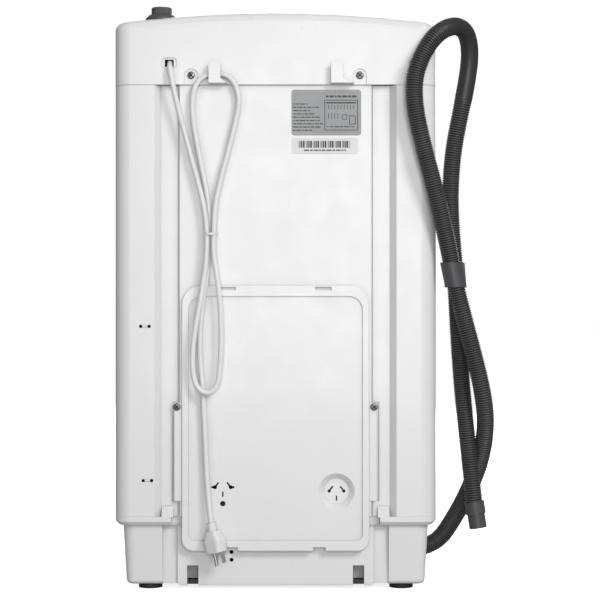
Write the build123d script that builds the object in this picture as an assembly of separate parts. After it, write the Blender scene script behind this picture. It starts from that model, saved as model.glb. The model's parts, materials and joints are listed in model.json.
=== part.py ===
from build123d import *
import math
import os

# Compact top load washing machine, in millimetres.
# Frame: +Z up, origin on the floor at the centre of the body, -Y is the front
# with the control panel, +Y is the rear with the cord and the drain hose.

# ---- driving dimensions -------------------------------------------------
WIDTH = 432.0            # cabinet, side to side
REAR_Y = 208.0           # rear face of the top cover
HOOK_REACH = 12.0        # how far the cord hooks stand off that face
FRONT_Y = -(REAR_Y + HOOK_REACH)
CABINET_FRONT_Y = -208.0
CABINET_REAR_Y = 207.0
CORNER_R = 21.0          # upright corners of cabinet, base and top cover
CABINET_Z = (99.0, 677.0)
CROWN_TOP = 774.0        # highest point of the crowned top cover
CROWN_EDGE = 760.0       # crown height at the two sides
TOP_FILLET = 11.0
SHEET = 2.0              # painted sheet metal
PLASTIC = 3.0            # moulded covers
FIT = 0.3                # gap between parts that move past each other
HALF = WIDTH / 2.0

PANEL_HALF = 128.5       # raised middle of the rear panel
CHANNEL_HALF = 162.0     # outer edge of the two recessed channels
PANEL_Y = 204.0          # rear face of the raised panel
CHANNEL_Y = 198.0        # floor of the channels
SEAM = 1.8               # gap between the cabinet's channels and the raised panel
PAN_Y = 196.0            # rear face of the panel's flange, behind the channels
COVER_HALF = 125.5       # arched service cover
COVER_Z = (53.0, 409.0)
COVER_FACE_Y = 206.0
COVER_RIM_Y = 208.0
COVER_CORNERS = (26.0, 16.0)     # upper and lower corner radius
WING_HALF = 135.5        # outer edge of the cover's screw wings
WING_Z = (120.0, 252.0)
SCREW_X = 132.0
SCREW_Z = 246.0
DISH = (-81.7, 133.0)    # centre of the plug-parking dish, X and Z
PARK_X = 70.5            # centre of the other plug-parking holes
PARK_Z = 138.5

LEG_X = (152.0, 204.0)   # each leg, measured from the middle
FOOT_X = 170.0
FOOT_Y = (-172.0, 172.0)
FOOT_R = 16.0
FLANGE_Z = (87.0, 99.0)
SKIRT_BOTTOM = 5.0
BASE_HALF = 206.0        # half width of the base just under the flange
LEG_BOTTOM = 6.5

TUB_Y = -8.0             # upright axis of tub, basket and drive
TUB_R = 180.0
TUB_Z = (215.0, 640.0)
BASKET_R = 158.0
BASKET_Z = (240.0, 600.0)
RING_Z = (600.0, 634.0)
PULSATOR_R = 120.0
ROD_X = 170.0
ROD_DY = 165.0

PULLEY_Z = (108.0, 122.0)
BIG_PULLEY_R = 65.0
SMALL_PULLEY_R = 16.0
MOTOR_X = 112.0
BELT_T = 4.0

HINGE_Y = 134.0
HINGE_Z = 758.0
LID_HALF = 163.0
LID_FRONT_Y = -136.0
LID_ROUND = 16.5         # rear edge of the lid is rounded about the hinge
LID_GAP = 1.5
LID_WINDOW_HALF = 112.0
LID_WINDOW_Y = (-98.0, 94.0)
WELL_HALF = LID_HALF + LID_GAP
WELL_Y = (LID_FRONT_Y - LID_GAP, HINGE_Y + LID_ROUND + 0.8)
SCOOP_HALF = 32.0        # finger scoop in front of the lid
LID_BOTTOM = 750.0
TRAY_Z = (737.0, 740.0)
THROAT_R = 131.0         # outside of the round throat under the lid

SLOPE_TOP = (-146.0, 776.0)      # Y, Z where the front slope would start
SLOPE_FOOT = (FRONT_Y, 708.0)
PANEL_MIDDLE = 48.0      # distance down the slope to the middle of the fascia
BUTTON_DROP = -3.0       # buttons sit this far below that middle
BUTTON_R = 7.0
BUTTON_XS = (-118.0, -72.0, -42.0, -12.0, 118.0)
BUTTON_NAMES = (
    "power_button",
    "level_button",
    "function_button",
    "program_button",
    "start_button",
)

CORD_D = 7.2
HOSE_D = 24.0
SPIGOT_X = 154.4
SPIGOT_Y = 180.0
SPIGOT_R = 14.0
SPIGOT_TOP = 784.0
FLARE_TOP = 774.5
OUTLET_Y = 92.0
OUTLET_Z = 42.0
SUMP_X = -118.0
MIN_UP = (Align.CENTER, Align.CENTER, Align.MIN)

# The mains lead: out of the top cover, down, round a loop, up over the hook
# and down again to the plug.
CORD_ROUTE = [
    (142, 194, 709.5), (141.5, 215, 702.5), (137.5, 221.5, 682), (132.5, 219, 657),
    (124.5, 217, 625), (114, 216, 586), (103, 216, 546), (93.5, 217.5, 508),
    (90.5, 219.5, 474), (92, 220.5, 437), (98.5, 222.5, 394), (106.5, 223, 352),
    (110.5, 223, 316), (109.5, 223, 292), (105, 223, 273), (91, 223, 263.5),
    (77, 223, 272), (73.5, 223, 298), (71.5, 223, 333), (72.5, 222.5, 378),
    (77, 221.5, 418), (82.5, 220.5, 452), (82, 219.5, 480), (80.5, 216.5, 514),
    (74, 215, 546), (64, 214, 583), (54, 213.5, 623), (48, 213, 651),
    (51, 212.8, 673), (62, 212.6, 688), (80, 212.5, 692), (98, 212.6, 687),
    (109, 212.8, 672), (111.5, 213, 645), (106.5, 213, 605), (97.5, 212.5, 562),
    (89.5, 212, 520), (86.5, 212, 480), (89, 212.8, 440), (96, 214.6, 394),
    (101, 215, 352), (100.5, 215, 309), (96.5, 215, 266), (94, 215, 216),
    (92, 216, 163), (88.5, 219, 118), (85.5, 222, 93),
]

# The drain hose: out of the side of the base, up, round the rear corner of
# the top cover, over, and down again to the nozzle.
HOSE_ROUTE = [
    (-206, 92, 42), (-226, 97, 49), (-246, 118, 84), (-264, 142, 124),
    (-279, 170, 172), (-284, 190, 221), (-278, 201, 266), (-266, 205, 314),
    (-252, 206, 366), (-240, 206, 412), (-232, 210, 454), (-221, 219, 500),
    (-209, 228, 546), (-196, 232, 592), (-185, 232.5, 640), (-183, 231, 676),
    (-190, 230.5, 704), (-204, 229, 730), (-221, 222, 748), (-242, 207, 757),
    (-258, 189, 750), (-264, 177, 722), (-259, 172, 682), (-250, 170, 638),
    (-241, 170, 592), (-237, 170, 540), (-238, 171, 492), (-242, 173, 444),
    (-245, 174, 396), (-248, 173, 340), (-252, 173, 280), (-257, 176, 226),
    (-262, 180, 176), (-266, 182, 138), (-268, 183, 117),
]


# ---- small builders ------------------------------------------------------
def block(x, y, z):
    """Box between two corners, each argument a (low, high) pair."""
    middle = [(a + b) / 2.0 for a, b in (x, y, z)]
    size = [b - a for a, b in (x, y, z)]
    return Pos(*middle) * Box(*size)


def post(x, y, z, r):
    """Upright cylinder between two heights."""
    return Pos(x, y, (z[0] + z[1]) / 2.0) * Cylinder(r, z[1] - z[0])


def pipe(x, y, z, r_out, r_in):
    """Upright tube between two heights."""
    return post(x, y, z, r_out) - post(x, y, z, r_in)


def rod_x(x, y, z, r):
    """Cylinder along X between two X values."""
    return Pos((x[0] + x[1]) / 2.0, y, z) * Rot(0, 90, 0) * Cylinder(r, x[1] - x[0])


def rod_y(x, y, z, r):
    """Cylinder along Y between two Y values."""
    return Pos(x, (y[0] + y[1]) / 2.0, z) * Rot(90, 0, 0) * Cylinder(r, y[1] - y[0])


def plan_prism(half, y, z, r):
    """Upright prism on a rectangle with rounded corners."""
    sketch = RectangleRounded(2 * half, y[1] - y[0], r)
    return Pos(0, (y[0] + y[1]) / 2.0, z[0]) * extrude(sketch, z[1] - z[0])


def rear_view_plane(y):
    """Upright plane at y for sketches in X and Z, extruded towards the front."""
    return Plane((0, y, 0), x_dir=(1, 0, 0), z_dir=(0, -1, 0))


def crown_prism(half, y, bottom, drop=0.0):
    """Prism along Y under the crowned top surface, lowered by drop."""
    edge = crown_height(half) - drop
    top = CROWN_TOP - drop
    outline = Polyline((-half, edge), (-half, bottom), (half, bottom), (half, edge))
    arc = ThreePointArc((half, edge), (0, top), (-half, edge))
    return extrude(rear_view_plane(y[1]) * make_face([*outline.edges(), arc]), y[1] - y[0])


def crown_band(half, y, drop_top, drop_bottom):
    """Curved sheet along Y that follows the crown between two depths below it."""
    edge = crown_height(half)
    high, low = edge - drop_top, edge - drop_bottom
    outer = ThreePointArc((half, high), (0, CROWN_TOP - drop_top), (-half, high))
    inner = ThreePointArc((-half, low), (0, CROWN_TOP - drop_bottom), (half, low))
    ends = [Line((-half, high), (-half, low)), Line((half, low), (half, high))]
    face = rear_view_plane(y[1]) * make_face([outer, inner, *ends])
    return extrude(face, y[1] - y[0])


def crown_height(x):
    """Height of the crowned top at a distance from the middle."""
    rise = CROWN_TOP - CROWN_EDGE
    radius = (HALF ** 2 + rise ** 2) / (2 * rise)
    return CROWN_TOP - radius + math.sqrt(radius ** 2 - x ** 2)


def slope_plane(along, raised=0.0):
    """Plane on the front slope: x along the machine, z out of the slope."""
    dy = SLOPE_FOOT[0] - SLOPE_TOP[0]
    dz = SLOPE_FOOT[1] - SLOPE_TOP[1]
    length = math.hypot(dy, dz)
    normal = (0.0, dz / length, -dy / length)
    y = SLOPE_TOP[0] + dy * along / length + normal[1] * raised
    z = SLOPE_TOP[1] + dz * along / length + normal[2] * raised
    return Plane((0, y, z), x_dir=(1, 0, 0), z_dir=normal)


def both_sides(maker):
    """The same solid at +X and at -X."""
    return [maker(1), maker(-1)]


def route_radii(points):
    """Largest tangent arc at each corner, 0.45 of the shorter run."""
    vectors = [Vector(*p) for p in points]
    radii = []
    for before, corner, after in zip(vectors, vectors[1:], vectors[2:]):
        run_in = corner - before
        run_out = after - corner
        half_turn = math.radians(run_in.get_angle(run_out)) / 2.0
        radii.append(0.45 * min(run_in.length, run_out.length) / math.tan(half_turn))
    return radii


def route_tube(name, points, diameter):
    """Plain tube along straight runs joined by tangent arcs."""
    radii = route_radii(points)
    path = FilletPolyline(*points, radius=radii)
    section = Plane(path @ 0, z_dir=path % 0) * Circle(diameter / 2.0)
    tube = sweep(section, path=path)
    expected = math.pi * diameter ** 2 / 4.0 * path.length
    print(name, "length", round(path.length, 1), "volume ratio", round(tube.volume / expected, 4))
    print(name, "radii", [round(r) for r in radii])
    return tube


# ---- cabinet -------------------------------------------------------------
def channel_sheet(side):
    """Sloping step and floor of one channel, as a bent sheet."""
    step = CABINET_REAR_Y - CHANNEL_Y
    foot = CHANNEL_HALF - step
    lap = 0.83 * SHEET
    outline = [
        (CHANNEL_HALF + 2, CABINET_REAR_Y), (CHANNEL_HALF, CABINET_REAR_Y), (foot, CHANNEL_Y),
        (PANEL_HALF + SEAM, CHANNEL_Y), (PANEL_HALF + SEAM, CHANNEL_Y - SHEET),
        (foot + lap, CHANNEL_Y - SHEET), (CHANNEL_HALF + lap, CABINET_REAR_Y - SHEET),
        (CHANNEL_HALF + 2, CABINET_REAR_Y - SHEET),
    ]
    face = make_face(Polyline(*[(side * x, y) for x, y in outline], close=True))
    return Pos(0, 0, CABINET_Z[0]) * extrude(face, CABINET_Z[1] - CABINET_Z[0], dir=(0, 0, 1))


def tie_bridge(x, z):
    """Pair of holes for a cable tie, and the bridge pressed out between them."""
    holes = Part() + [rod_y(x + dx, (200, 210), z, 2.2) for dx in (-5.6, 5.6)]
    return holes, rod_x((x - 3.4, x + 3.4), CABINET_REAR_Y, z, 1.4) & block(
        (x - 4, x + 4), (CABINET_REAR_Y - 1, CABINET_REAR_Y + 1), (z - 2, z + 2))


def cabinet_shell():
    """Painted wrap: front, two sides, and the rear with its two channels."""
    y = (CABINET_FRONT_Y, CABINET_REAR_Y)
    inner_y = (y[0] + SHEET, y[1] - SHEET)
    outer = plan_prism(HALF, y, CABINET_Z, CORNER_R)
    inner = plan_prism(HALF - SHEET, inner_y, CABINET_Z, CORNER_R - SHEET)
    shell = outer - inner
    shell -= block((-CHANNEL_HALF, CHANNEL_HALF), (180, 220), CABINET_Z)
    for side in (1, -1):
        shell += channel_sheet(side)
        relief = sorted((side * (PANEL_HALF + SEAM - 1), side * (WING_HALF + 3.5)))
        shell -= block(relief, (190, 199), (WING_Z[0] - 1, WING_Z[1]))
    for x, z in ((174.7, 353.7), (171.3, 147.4)):
        holes, bridge = tie_bridge(x, z)
        shell = (shell - holes) + bridge
    return shell


def rear_panel():
    """Pressed panel with a raised middle and an access opening."""
    flange = block((-148.0, 148.0), (PAN_Y - 2.5, PAN_Y - 0.1), CABINET_Z)
    raised = block((-PANEL_HALF, PANEL_HALF), (PAN_Y - 2.5, PANEL_Y), CABINET_Z)
    hollow_x = PANEL_HALF - 2.5
    hollow = block((-hollow_x, hollow_x), (PAN_Y - 2.6, PANEL_Y - 2.5), (101.5, 674.5))
    panel = flange + raised - hollow
    panel -= block((-110, 110), (190, 210), (90, 385))
    for side in (1, -1):
        panel -= rod_y(side * SCREW_X, (190, 210), SCREW_Z, 2.25)
    return panel


def cover_outline(inset_side, inset_top, inset_bottom, corners):
    """Face of the service cover in X and Z: upper and lower corner radius."""
    half = COVER_HALF - inset_side
    top = COVER_Z[1] - inset_top
    bottom = COVER_Z[0] + inset_bottom
    face = make_face(Polyline((-half, bottom), (half, bottom), (half, top), (-half, top), close=True))
    ordered = face.vertices().sort_by(Axis.Y)
    upper = [v.center() for v in ordered[-2:]]
    face = fillet(ordered[:2], corners[1])
    top_vertices = [v for v in face.vertices() if any((v.center() - u).length < 0.01 for u in upper)]
    return fillet(top_vertices, corners[0])


def in_rear_plane(sketch, y, depth):
    """Extrude a sketch drawn in X and Z from y forwards by depth."""
    return extrude(rear_view_plane(y) * sketch, depth)


def pin_hole(x, z, side, bar):
    """Cutter for one parking hole: round, a leg up towards the middle, and an
    optional bar outwards."""
    leg = Pos(-side * 2.4, 3.2) * Rot(0, 0, side * 37) * Rectangle(2.1, 8.0)
    shape = Circle(2.6 if bar else 2.2) + leg
    if bar:
        shape += Pos(side * 2.4, 0) * Rectangle(4.8, 2.8)
    return in_rear_plane(Pos(x, z) * shape, 216.0, 30.0)


def rear_service_cover():
    """Raised arched cover with a rim, screw wings and plug-parking holes."""
    outer = cover_outline(0, 0, 0, COVER_CORNERS)
    inner = cover_outline(9, 15, 14, (18.0, 9.0))
    plate = in_rear_plane(outer, COVER_FACE_Y, COVER_FACE_Y - PANEL_Y)
    rim = in_rear_plane(outer, COVER_RIM_Y, COVER_RIM_Y - COVER_FACE_Y)
    rim = chamfer(rim.faces().sort_by(Axis.Y)[-1].edges(), 0.9)
    rim -= in_rear_plane(inner, COVER_RIM_Y + 1, 6)
    cover = plate + rim
    for side in (1, -1):
        x = sorted((side * (COVER_HALF - 6.0), side * WING_HALF))
        cover += block(x, (PANEL_Y, PANEL_Y + 1.5), WING_Z)
        slot_x = sorted((side * 53.0, side * 75.0))
        cover -= block(slot_x, (200, 215), (402.0, 406.5))
        notch_x = sorted((side * 50.0, side * 67.0))
        cover -= block(notch_x, (200, 215), (50.0, 58.5))
        cover -= rod_y(side * SCREW_X, (190, 220), SCREW_Z, 2.2)
    x, z = DISH
    cover += Pos(x, COVER_FACE_Y - 5.0, z) * Rot(-90, 0, 0) * Cone(18.5, 26.0, 10.0)
    cover -= Pos(x, COVER_FACE_Y - 4.0, z) * Rot(-90, 0, 0) * Cone(16.5, 24.0, 8.0)
    for side in (1, -1):
        cover -= pin_hole(x + side * 9.8, z - 0.5, side, bar=False)
        cover -= pin_hole(PARK_X + side * 10.5, PARK_Z, side, bar=True)
    cover -= block((x - 0.9, x + 0.9), (190, 215), (z - 13.5, z - 6.5))
    cover -= block((PARK_X - 0.9, PARK_X + 0.9), (190, 215), (PARK_Z - 13.0, PARK_Z - 6.0))
    return cover - rod_y(PARK_X, (190, 215), PARK_Z - 22.0, 3.6)


def base_block(inset):
    """Tapering block below the flange, or the room inside it."""
    y = (-200.0 + inset, CHANNEL_Y - inset)
    sketch = RectangleRounded(2 * (BASE_HALF - inset), y[1] - y[0], 16.0 - inset)
    top = FLANGE_Z[0] + 1
    return Pos(0, (y[0] + y[1]) / 2.0, top) * extrude(sketch, LEG_BOTTOM - top, taper=3.5)


def base_leg(sx, sy):
    """Room taken by one corner leg."""
    y = (146.0, 200.0) if sy > 0 else (-202.0, -147.0)
    return block(sorted((sx * LEG_X[0], sx * 210.0)), y, (0.0, FLANGE_Z[1]))


def base_frame():
    """Moulded base: flange ring, four legs, side walls, rear skirt."""
    y = (CABINET_FRONT_Y, CABINET_REAR_Y)
    ring = plan_prism(HALF, y, FLANGE_Z, CORNER_R)
    ring = chamfer(ring.faces().sort_by(Axis.Z)[0].edges(), 5.0)
    ring -= plan_prism(188.0, (-186.0, 184.0), (80, 101), 12.0)
    ring -= block((-140.0, 140.0), (CHANNEL_Y - 2, 215), (80, 101))
    outer = base_block(0.0)
    outer = fillet(outer.faces().sort_by(Axis.Z)[0].edges(), 6.0)
    core = base_block(PLASTIC) + block((-170, 170), (-170, 170), (0, 10))
    corners = [(sx, sy) for sx in (1, -1) for sy in (1, -1)]
    legs = Part() + [base_leg(*c) for c in corners]
    sockets = Part() + [leg_pocket(*c) for c in corners]
    base = ring + (outer - core) + ((outer & legs) - sockets)
    base -= block((-LEG_X[0], LEG_X[0]), (180.0, 215.0), (0.0, FLANGE_Z[0]))
    base -= block((-LEG_X[0], LEG_X[0]), (-196.0, 180.0), (0.0, 12.0))
    for side in (1, -1):
        web_x = sorted((side * 130.0, side * LEG_X[0]))
        base += block(web_x, (CHANNEL_Y - 11, CHANNEL_Y - 8), (7.5, FLANGE_Z[0] + 2))
        base += filler_wedge(side)
    base += block((-130.0, 130.0), (CHANNEL_Y - 7, CHANNEL_Y - 4), (SKIRT_BOTTOM, FLANGE_Z[1]))
    for side in (1, -1):
        tie_x = sorted((side * 128.0, side * 132.0))
        base += block(tie_x, (CHANNEL_Y - 11, CHANNEL_Y - 4), (7.5, FLANGE_Z[0] + 2))
        notch_x = sorted((side * 104.0, side * 119.0))
        base -= block(notch_x, (180, 200), (0.0, 32.0))
        pocket_x = sorted((side * 99.0, side * 124.0))
        base += block(pocket_x, (178.0, 180.5), (13.0, 38.0))
        base += block(pocket_x, (178.0, CHANNEL_Y - 5), (35.5, 38.0))
    for z in (39.5, 50.0):
        base -= rod_y(59.4, (180, 200), z, 2.7)
    base -= post(FOOT_X, FOOT_Y[0], (0, 60), 4.0 + FIT)
    return base - rod_x((-215, -190), OUTLET_Y, OUTLET_Z, HOSE_D / 2 + 2.0)


def leg_pocket(sx, sy):
    """Hollow inside one leg, above its foot."""
    x = sorted((sx * (LEG_X[0] + PLASTIC), sx * (LEG_X[1] - 2 * PLASTIC)))
    y = (149.0, 190.0) if sy > 0 else (-192.0, -150.0)
    return block(x, y, (12.0, FLANGE_Z[1] - PLASTIC))


def filler_wedge(side):
    """Sloping filler at the foot of a channel."""
    low, high = sorted((side * 137.0, side * 152.5))
    outline = Polyline(
        (CHANNEL_Y, 98.0), (CABINET_REAR_Y, 98.0), (CABINET_REAR_Y, 99.0), (CHANNEL_Y, 113.0),
        close=True)
    plane = Plane((low, 0, 0), x_dir=(0, 1, 0), z_dir=(1, 0, 0))
    return extrude(plane * make_face(outline), high - low)


def bottom_plate():
    """Dark sheet that closes the base, with a turned-up rear edge."""
    sheet = block((-128.0, 128.0), (-190.0, 190.5), (6.5, 8.5))
    lip = block((-124.0, 124.0), (188.5, 190.5), (6.5, 12.5))
    return sheet + lip


def rubber_foot(x, y):
    """Rubber pad under a leg."""
    return post(x, y, (0.0, 6.5), FOOT_R)


def rubber_feet():
    """Three fixed pads; the fourth corner has the levelling foot."""
    places = [(FOOT_X, FOOT_Y[1]), (-FOOT_X, FOOT_Y[1]), (-FOOT_X, FOOT_Y[0])]
    return [rubber_foot(x, y) for x, y in places]


def leveling_foot():
    """Screw-in foot under the front leg on the +X side."""
    pad = post(FOOT_X, FOOT_Y[0], (0.0, 6.2), FOOT_R)
    return pad + post(FOOT_X, FOOT_Y[0], (6.2, 40.0), 4.0)


# ---- top cover and lid -----------------------------------------------------
def crowned_body(inset, bottom):
    """Crowned block with rounded corners and a rounded top edge."""
    half = HALF - inset
    y = (FRONT_Y + inset, REAR_Y - inset)
    body = crown_prism(half, y, bottom, inset)
    body &= plan_prism(half, y, (bottom, CROWN_TOP + 10), CORNER_R - inset)
    top = body.faces().sort_by(Axis.Z)[-1]
    return fillet(top.edges(), TOP_FILLET - inset)


def slope_cutter(raised):
    """Everything in front of the slope, as one big block."""
    return slope_plane(PANEL_MIDDLE, raised) * (Pos(0, 0, 100) * Box(500, 400, 200))


def cord_hook(x, web):
    """Hook that the lead hangs on: shank, upright plate and low web."""
    hook = block((x - 8, x + 8), (REAR_Y, REAR_Y + 9), (678.0, 684.0))
    plate = block((x - 8, x + 8), (REAR_Y + 9, REAR_Y + HOOK_REACH), (678.0, 706.0))
    plate = fillet(plate.edges().filter_by(Axis.Y).sort_by(Axis.Z)[-2:], 2.5)
    gusset = Polyline((x - 8, 678.0), (x - 8 - web, 678.0), (x - 8, 684.0), close=True)
    return hook + plate + in_rear_plane(make_face(gusset), REAR_Y + HOOK_REACH, HOOK_REACH)


def rear_hooks():
    """Two hooks for the lead and the saddle that the hose rests against."""
    return [cord_hook(81.0, 8.0), cord_hook(-82.0, 15.0), hose_saddle()]


def scoop_block(grow, top):
    """Room of the finger scoop in front of the lid, or the pocket round it."""
    half = SCOOP_HALF + grow
    return block((-half, half), (WELL_Y[0] - 8 - grow, WELL_Y[0]), (748.0 - grow, top))


def top_cover():
    """Crowned moulding: lid opening, slope for the controls, rear recesses."""
    body = crowned_body(0.0, CABINET_Z[1]) - slope_cutter(0.0)
    body -= crowned_body(PLASTIC, CABINET_Z[1]) - slope_cutter(-PLASTIC)
    room = PLASTIC + 0.1
    room_y = (WELL_Y[0] - room, WELL_Y[1] + room)
    body -= block((-WELL_HALF - room, WELL_HALF + room), room_y, (730.0, CROWN_TOP + 5))
    body -= scoop_block(room, CROWN_TOP + 5)
    body -= slope_plane(PANEL_MIDDLE) * Box(294, 76, 20)
    arch = Rectangle(18.4, 12.0, align=(Align.CENTER, Align.MIN)) + Pos(0, 12) * Circle(9.2)
    for x in (112.8, -112.8):
        body -= in_rear_plane(Pos(x, CABINET_Z[1]) * arch, REAR_Y + 1, 2.2)
        body -= rod_y(x, (195, 215), 689.5, 2.2)
    body -= in_rear_plane(Pos(142, 705.5) * RectangleRounded(20, 15, 5), REAR_Y + 1, 2.4)
    body -= block((136.2, 148.0), (195, 215), (701.0, 710.4))
    return body - post(SPIGOT_X, SPIGOT_Y, (740, 790), 12.0)


def lid_tray():
    """Walled tray round the lid, with the throat and the finger scoop."""
    walls_y = (WELL_Y[0] - PLASTIC, WELL_Y[1] + PLASTIC)
    tray = crown_prism(WELL_HALF + PLASTIC, walls_y, TRAY_Z[0], 1.0)
    tray += scoop_block(PLASTIC, 766.0)
    tray -= block((-WELL_HALF, WELL_HALF), WELL_Y, (TRAY_Z[1], CROWN_TOP + 5))
    tray -= scoop_block(0.0, CROWN_TOP + 5)
    tray -= post(0, TUB_Y, (TRAY_Z[0] - 1, TRAY_Z[1] + 1), THROAT_R - PLASTIC)
    for side in (1, -1):
        tray -= rod_x(sorted((side * 160.0, side * 172.0)), HINGE_Y, HINGE_Z, 2.5 + 0.05)
    return tray


def splash_collar():
    """Round collar that guides laundry and spray down into the tub."""
    inner = THROAT_R - PLASTIC
    collar = pipe(0, TUB_Y, (672.0, TRAY_Z[0]), THROAT_R, inner)
    return collar + pipe(0, TUB_Y, (TRAY_Z[0] - 4, TRAY_Z[0]), THROAT_R + 8.0, inner)


def lid_blank(inset, drop, bottom):
    """Crowned lid block with its rear edge rounded about the hinge."""
    half = LID_HALF - inset
    y = (LID_FRONT_Y + inset, HINGE_Y + LID_ROUND - inset)
    blank = crown_prism(half, y, bottom, drop)
    keep = block((-half, half), (y[0], HINGE_Y), (700, 800))
    keep += rod_x((-half, half), HINGE_Y, HINGE_Z, LID_ROUND - inset)
    return blank & keep


def window_pane(inset, drop_top, drop_bottom):
    """Piece of crowned sheet with the window's rounded outline."""
    half = LID_WINDOW_HALF - inset
    y = (LID_WINDOW_Y[0] + inset, LID_WINDOW_Y[1] - inset)
    sheet = crown_band(half + 2.0, (y[0] - 2.0, y[1] + 2.0), drop_top, drop_bottom)
    return sheet & plan_prism(half, y, (700, 800), 18.0 - inset)


def lid_frame():
    """Lid moulding, open below, with a ledge for the clear window."""
    frame = lid_blank(0.0, 0.0, LID_BOTTOM)
    frame -= lid_blank(3.0, 4.0, LID_BOTTOM - 1)
    frame += window_pane(-5.0, 3.5, 9.0)
    frame -= window_pane(6.0, -5.0, 15.0)
    frame -= window_pane(0.0, -5.0, 4.0)
    for side in (1, -1):
        frame += rod_x(sorted((side * 155.0, side * (LID_HALF - 0.1))), HINGE_Y, HINGE_Z, 4.5)
        frame -= rod_x(sorted((side * 155.0, side * 165.0)), HINGE_Y, HINGE_Z, 2.5)
    return frame


def lid_window():
    """Clear crowned pane set into the lid."""
    return window_pane(0.0, 0.5, 4.0)


def hinge_pins():
    """Two steel pins that the lid turns on."""
    return both_sides(lambda s: rod_x(sorted((s * 155.0, s * 167.0)), HINGE_Y, HINGE_Z, 2.5))


def control_panel():
    """Sloping fascia with bores for the buttons and a display opening."""
    place = slope_plane(PANEL_MIDDLE)
    panel = place * (Pos(0, 0, -1.5) * extrude(RectangleRounded(293, 75, 10), 4.0))
    panel -= place * (Pos(53, 4, 0) * Box(74, 30, 20))
    for x in BUTTON_XS:
        panel -= place * (Pos(x, BUTTON_DROP, 0) * Cylinder(BUTTON_R + FIT, 20))
    return panel


def display_window():
    """Clear window over the digits."""
    return slope_plane(PANEL_MIDDLE) * (Pos(53, 4, -1.0) * Box(74, 30, 2.0, align=MIN_UP))


def push_button(x):
    """Round button: cap above the fascia, stem towards the board."""
    place = slope_plane(PANEL_MIDDLE)
    cap = Pos(x, BUTTON_DROP, -1.5) * Cylinder(BUTTON_R, 6.0, align=MIN_UP)
    stem = Pos(x, BUTTON_DROP, -6.5) * Cylinder(2.5, 5.0, align=MIN_UP)
    return place * (cap + stem)


def control_board():
    """Board box behind the fascia."""
    return slope_plane(PANEL_MIDDLE) * (Pos(0, 0, -20.0) * Box(230, 46, 12.0, align=MIN_UP))


def lid_switch():
    """Micro switch beside the hinge."""
    return block((168.5, 178.0), (104.0, 128.0), (730.0, 752.0))


# ---- water ----------------------------------------------------------------
def inlet_spigot():
    """Inlet stub on a flared gasket that follows the crown."""
    stub = post(SPIGOT_X, SPIGOT_Y, (750.0, SPIGOT_TOP), SPIGOT_R)
    skirt = post(SPIGOT_X, SPIGOT_Y, (750.0, 769.5), 21.8)
    flare = Pos(SPIGOT_X, SPIGOT_Y, (769.5 + FLARE_TOP) / 2) * Cone(21.8, 16.0, FLARE_TOP - 769.5)
    spigot = (stub + skirt + flare) - crown_prism(HALF, (FRONT_Y, REAR_Y), 700.0)
    spigot += post(SPIGOT_X, SPIGOT_Y, (748.0, 768.0), 11.8)
    return spigot - post(SPIGOT_X, SPIGOT_Y, (758.0, 790.0), 9.5)


def inlet_valve():
    """Solenoid valve hanging under the inlet."""
    valve = post(SPIGOT_X, SPIGOT_Y, (728.0, 748.0), 15.0)
    return valve + block((SPIGOT_X - 14, SPIGOT_X + 14), (157.0, 176.0), (728.0, 748.0))


def water_spout():
    """Fan-shaped spout that leads water from the valve into the basket."""
    return block((SPIGOT_X - 52, SPIGOT_X - 14), (157.0, 172.0), (728.0, 744.0))


def drain_valve():
    """Drain valve bolted under the tub floor."""
    valve = block((SUMP_X - 24, SUMP_X + 24), (OUTLET_Y - 24, OUTLET_Y + 24), (180.0, 215.0))
    return valve + rod_x((SUMP_X + 24, SUMP_X + 60), OUTLET_Y, 197.0, 13.0)


def sump_hose():
    """Bellows hose between the moving tub and the fixed outlet."""
    hose = pipe(SUMP_X, OUTLET_Y, (112.0, 180.0), 15.0, 12.0)
    for z in range(118, 176, 8):
        hose += pipe(SUMP_X, OUTLET_Y, (z, z + 3), 18.0, 14.0)
    return hose


def drain_outlet():
    """Elbow fixed in the base: takes the bellows, feeds the drain hose."""
    upright = post(SUMP_X, OUTLET_Y, (OUTLET_Z, 112.0), 15.0)
    run = rod_x((-206.0, SUMP_X), OUTLET_Y, OUTLET_Z, HOSE_D / 2)
    knee = Pos(SUMP_X, OUTLET_Y, OUTLET_Z) * Sphere(15.0)
    bore = post(SUMP_X, OUTLET_Y, (OUTLET_Z, 113.0), 11.0)
    bore += rod_x((-205.0, SUMP_X), OUTLET_Y, OUTLET_Z, 8.0)
    bracket = block((-195.0, -150.0), (OUTLET_Y - 20, OUTLET_Y + 20), (22.0, 26.0))
    strut = block((-190.0, -184.0), (OUTLET_Y - 8, OUTLET_Y + 8), (26.0, 34.0))
    return (upright + run + knee + strut + bracket) - bore


def drain_hose():
    """Corrugated hose as a plain tube."""
    return route_tube("drain_hose", HOSE_ROUTE, HOSE_D)


def hose_clip():
    """Band that holds the two runs of the hose together."""
    z = (406.0, 439.0)
    runs = [
        Plane((-238.0, 207.3, 422.0), z_dir=(9, 2, 43)),
        Plane((-243.4, 173.4, 422.0), z_dir=(3.5, -1.5, 48)),
    ]
    body = block((-253.0, -229.0), (173.4, 207.3), z)
    for run in runs:
        body += run * Cylinder(HOSE_D / 2 + 2.2, 60)
    body &= block((-300, -200), (100, 300), z)
    for run in runs:
        body -= run * Cylinder(HOSE_D / 2 + 0.2, 80)
    return body


def hose_nozzle():
    """Plain end piece: collar over the hose and an open spout."""
    start = Vector(*HOSE_ROUTE[-1])
    aim = Vector(-5.5, 1.0, -35.5).normalized()
    place = Plane(start, z_dir=aim)
    collar = Cylinder(13.4, 17.0, align=MIN_UP)
    spout = Pos(0, 0, 17.0) * Cylinder(11.8, 19.0, align=MIN_UP)
    bore = Pos(0, 0, 8.0) * Cylinder(10.0, 40.0, align=MIN_UP)
    return place * (collar + spout - bore)


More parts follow.
